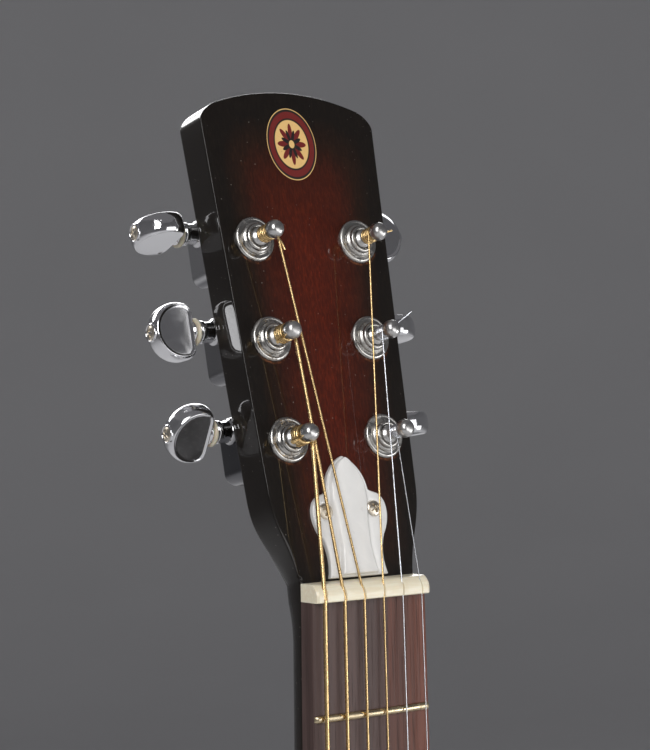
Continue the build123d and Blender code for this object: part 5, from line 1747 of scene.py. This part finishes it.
bodyScrews = {
    "count": 12,
    "turn": 15.0,
    "circle": 138.0,
    "level": 13.0,
    "restX": 57.0,
    "restLevel": 1.8,
    "radius": 3.0,
    "rise": 1.0,
    "recess": 0.9,
    "armWidth": 0.34,
    "armLength": 1.7,
}


# The screws of the cover plate and the palm rest, each turned a little differently, with the others.
def makeWoodScrews(others):
    shape = bodyScrews
    places = []
    for step in range(shape["count"]):
        angle = math.radians(shape["turn"] + 360 / shape["count"] * step)
        across, along = shape["circle"] * math.cos(angle), shape["circle"] * math.sin(angle)
        places.append((across, shape["level"], stringLayout["saddleZ"] + along))
    for side in (-1, 1):
        places.append((side * shape["restX"], shape["restLevel"], stringLayout["saddleZ"]))
    screws = []
    for number, place in enumerate(places):
        turn = 1.7 * number
        side = math.cos(turn) * right + math.sin(turn) * upward
        size = (shape["radius"], shape["rise"], shape["recess"], shape["armWidth"], shape["armLength"])
        screws.append(crossHead(place, -back, side, *size, 0.1))
    nickel = finishes["screwNickel"]
    makePiece("woodScrews", others + screws, nickel, replaces=["wood_screws"], crease=42)


screen = {
    "x": 76.0, "z": -403.5, "y": 14.0, "inner": 31.0, "outer": 37.5, "wire": 0.3, "gap": 2.4, "wave": 0.3
}


# Woven wire in a turned ring: every wire waves over and under the ones it crosses.
def makeScreens():
    ringProfile = rounded(
        [
            (screen["inner"], -0.3),
            (screen["inner"], 0.9, 0.3),
            (screen["inner"] + 1.2, 1.2, 0.5),
            (screen["outer"] - 1.2, 1.2, 0.5),
            (screen["outer"], 0.6, 0.4),
            (screen["outer"], 0.02),
            (screen["inner"] + 1.9, -0.3),
            (screen["inner"], -0.3),
        ],
        4,
    )
    reach = screen["inner"] + 0.4
    offsets = np.arange(-12, 13) * screen["gap"]
    rings, wires = [], []
    for side in (-1, 1):
        centre = np.array([side * screen["x"], screen["y"], screen["z"]])
        rings.append(turned(ringProfile, centre, -back, right, 96))
        for turn, (along, across) in enumerate(((right, upward), (upward, right))):
            for index, offset in enumerate(offsets):
                half = math.sqrt(reach**2 - offset**2)
                t = np.linspace(-half, half, max(int(half * 2 / screen["gap"] * 5), 6))[:, None]
                phase = np.pi * (t / screen["gap"] + index + turn)
                path = centre + t * along + offset * across - screen["wave"] * np.cos(phase) * back
                wires.append(sweep(path, screen["wire"], 5, back))
    chrome = finishes["coverChrome"]
    makePiece("screenRings", rings, chrome, replaces=["sound_hole_screens"])
    makePiece("screenWires", wires, finishes["domeNickel"], crease=80)


def dressSolids():
    for node, finish in dress.items():
        mesh = frame["nodes"][node].data
        mesh.materials.clear()
        mesh.materials.append(finishes[finish])


# Floor and wall in one: a wide bowl with a flat middle, turned about the upright axis.
def makeStage():
    floor = cadBox[0].z / mm - 1
    profile = rounded([(0, floor), (7000, floor, 2500), (9000, floor + 9000)], 16)
    stage = turned(profile, (0, 0, 0), upward, sides=96)
    material, tree, shader, place = openMaterial("paleFloor", Roughness=0.75)
    color = blendColors(tree, noise(tree, place, 1.5, 3), (0.6, 0.6, 0.61, 1), (0.66, 0.66, 0.67, 1))
    tree.links.new(color, shader.inputs["Base Color"])
    mesh = bpy.data.meshes.new("floor")
    mesh.from_pydata(stage[0] * mm, [], stage[1][:, ::-1])
    mesh.materials.append(material)
    mesh.polygons.foreach_set("use_smooth", np.ones(len(mesh.polygons), bool))
    floorObject = bpy.data.objects.new("floor", mesh)
    bpy.context.scene.collection.objects.link(floorObject)


makeCamera()
makeLights()
makeStage()
dressSolids()
makeNeck()
makeFingerboard()
makeFrets()
makeNut()
print("neck and board made")
makeWashersAndBushings()
makePosts()
makeButtons()
lugScrews = makeHousings()
print("tuners made")
makeStrings()
coverScrews = makeRodCover()
makeEmblemPiece()
makeWoodScrews(lugScrews + coverScrews)
makeScreens()
print("body dressed")
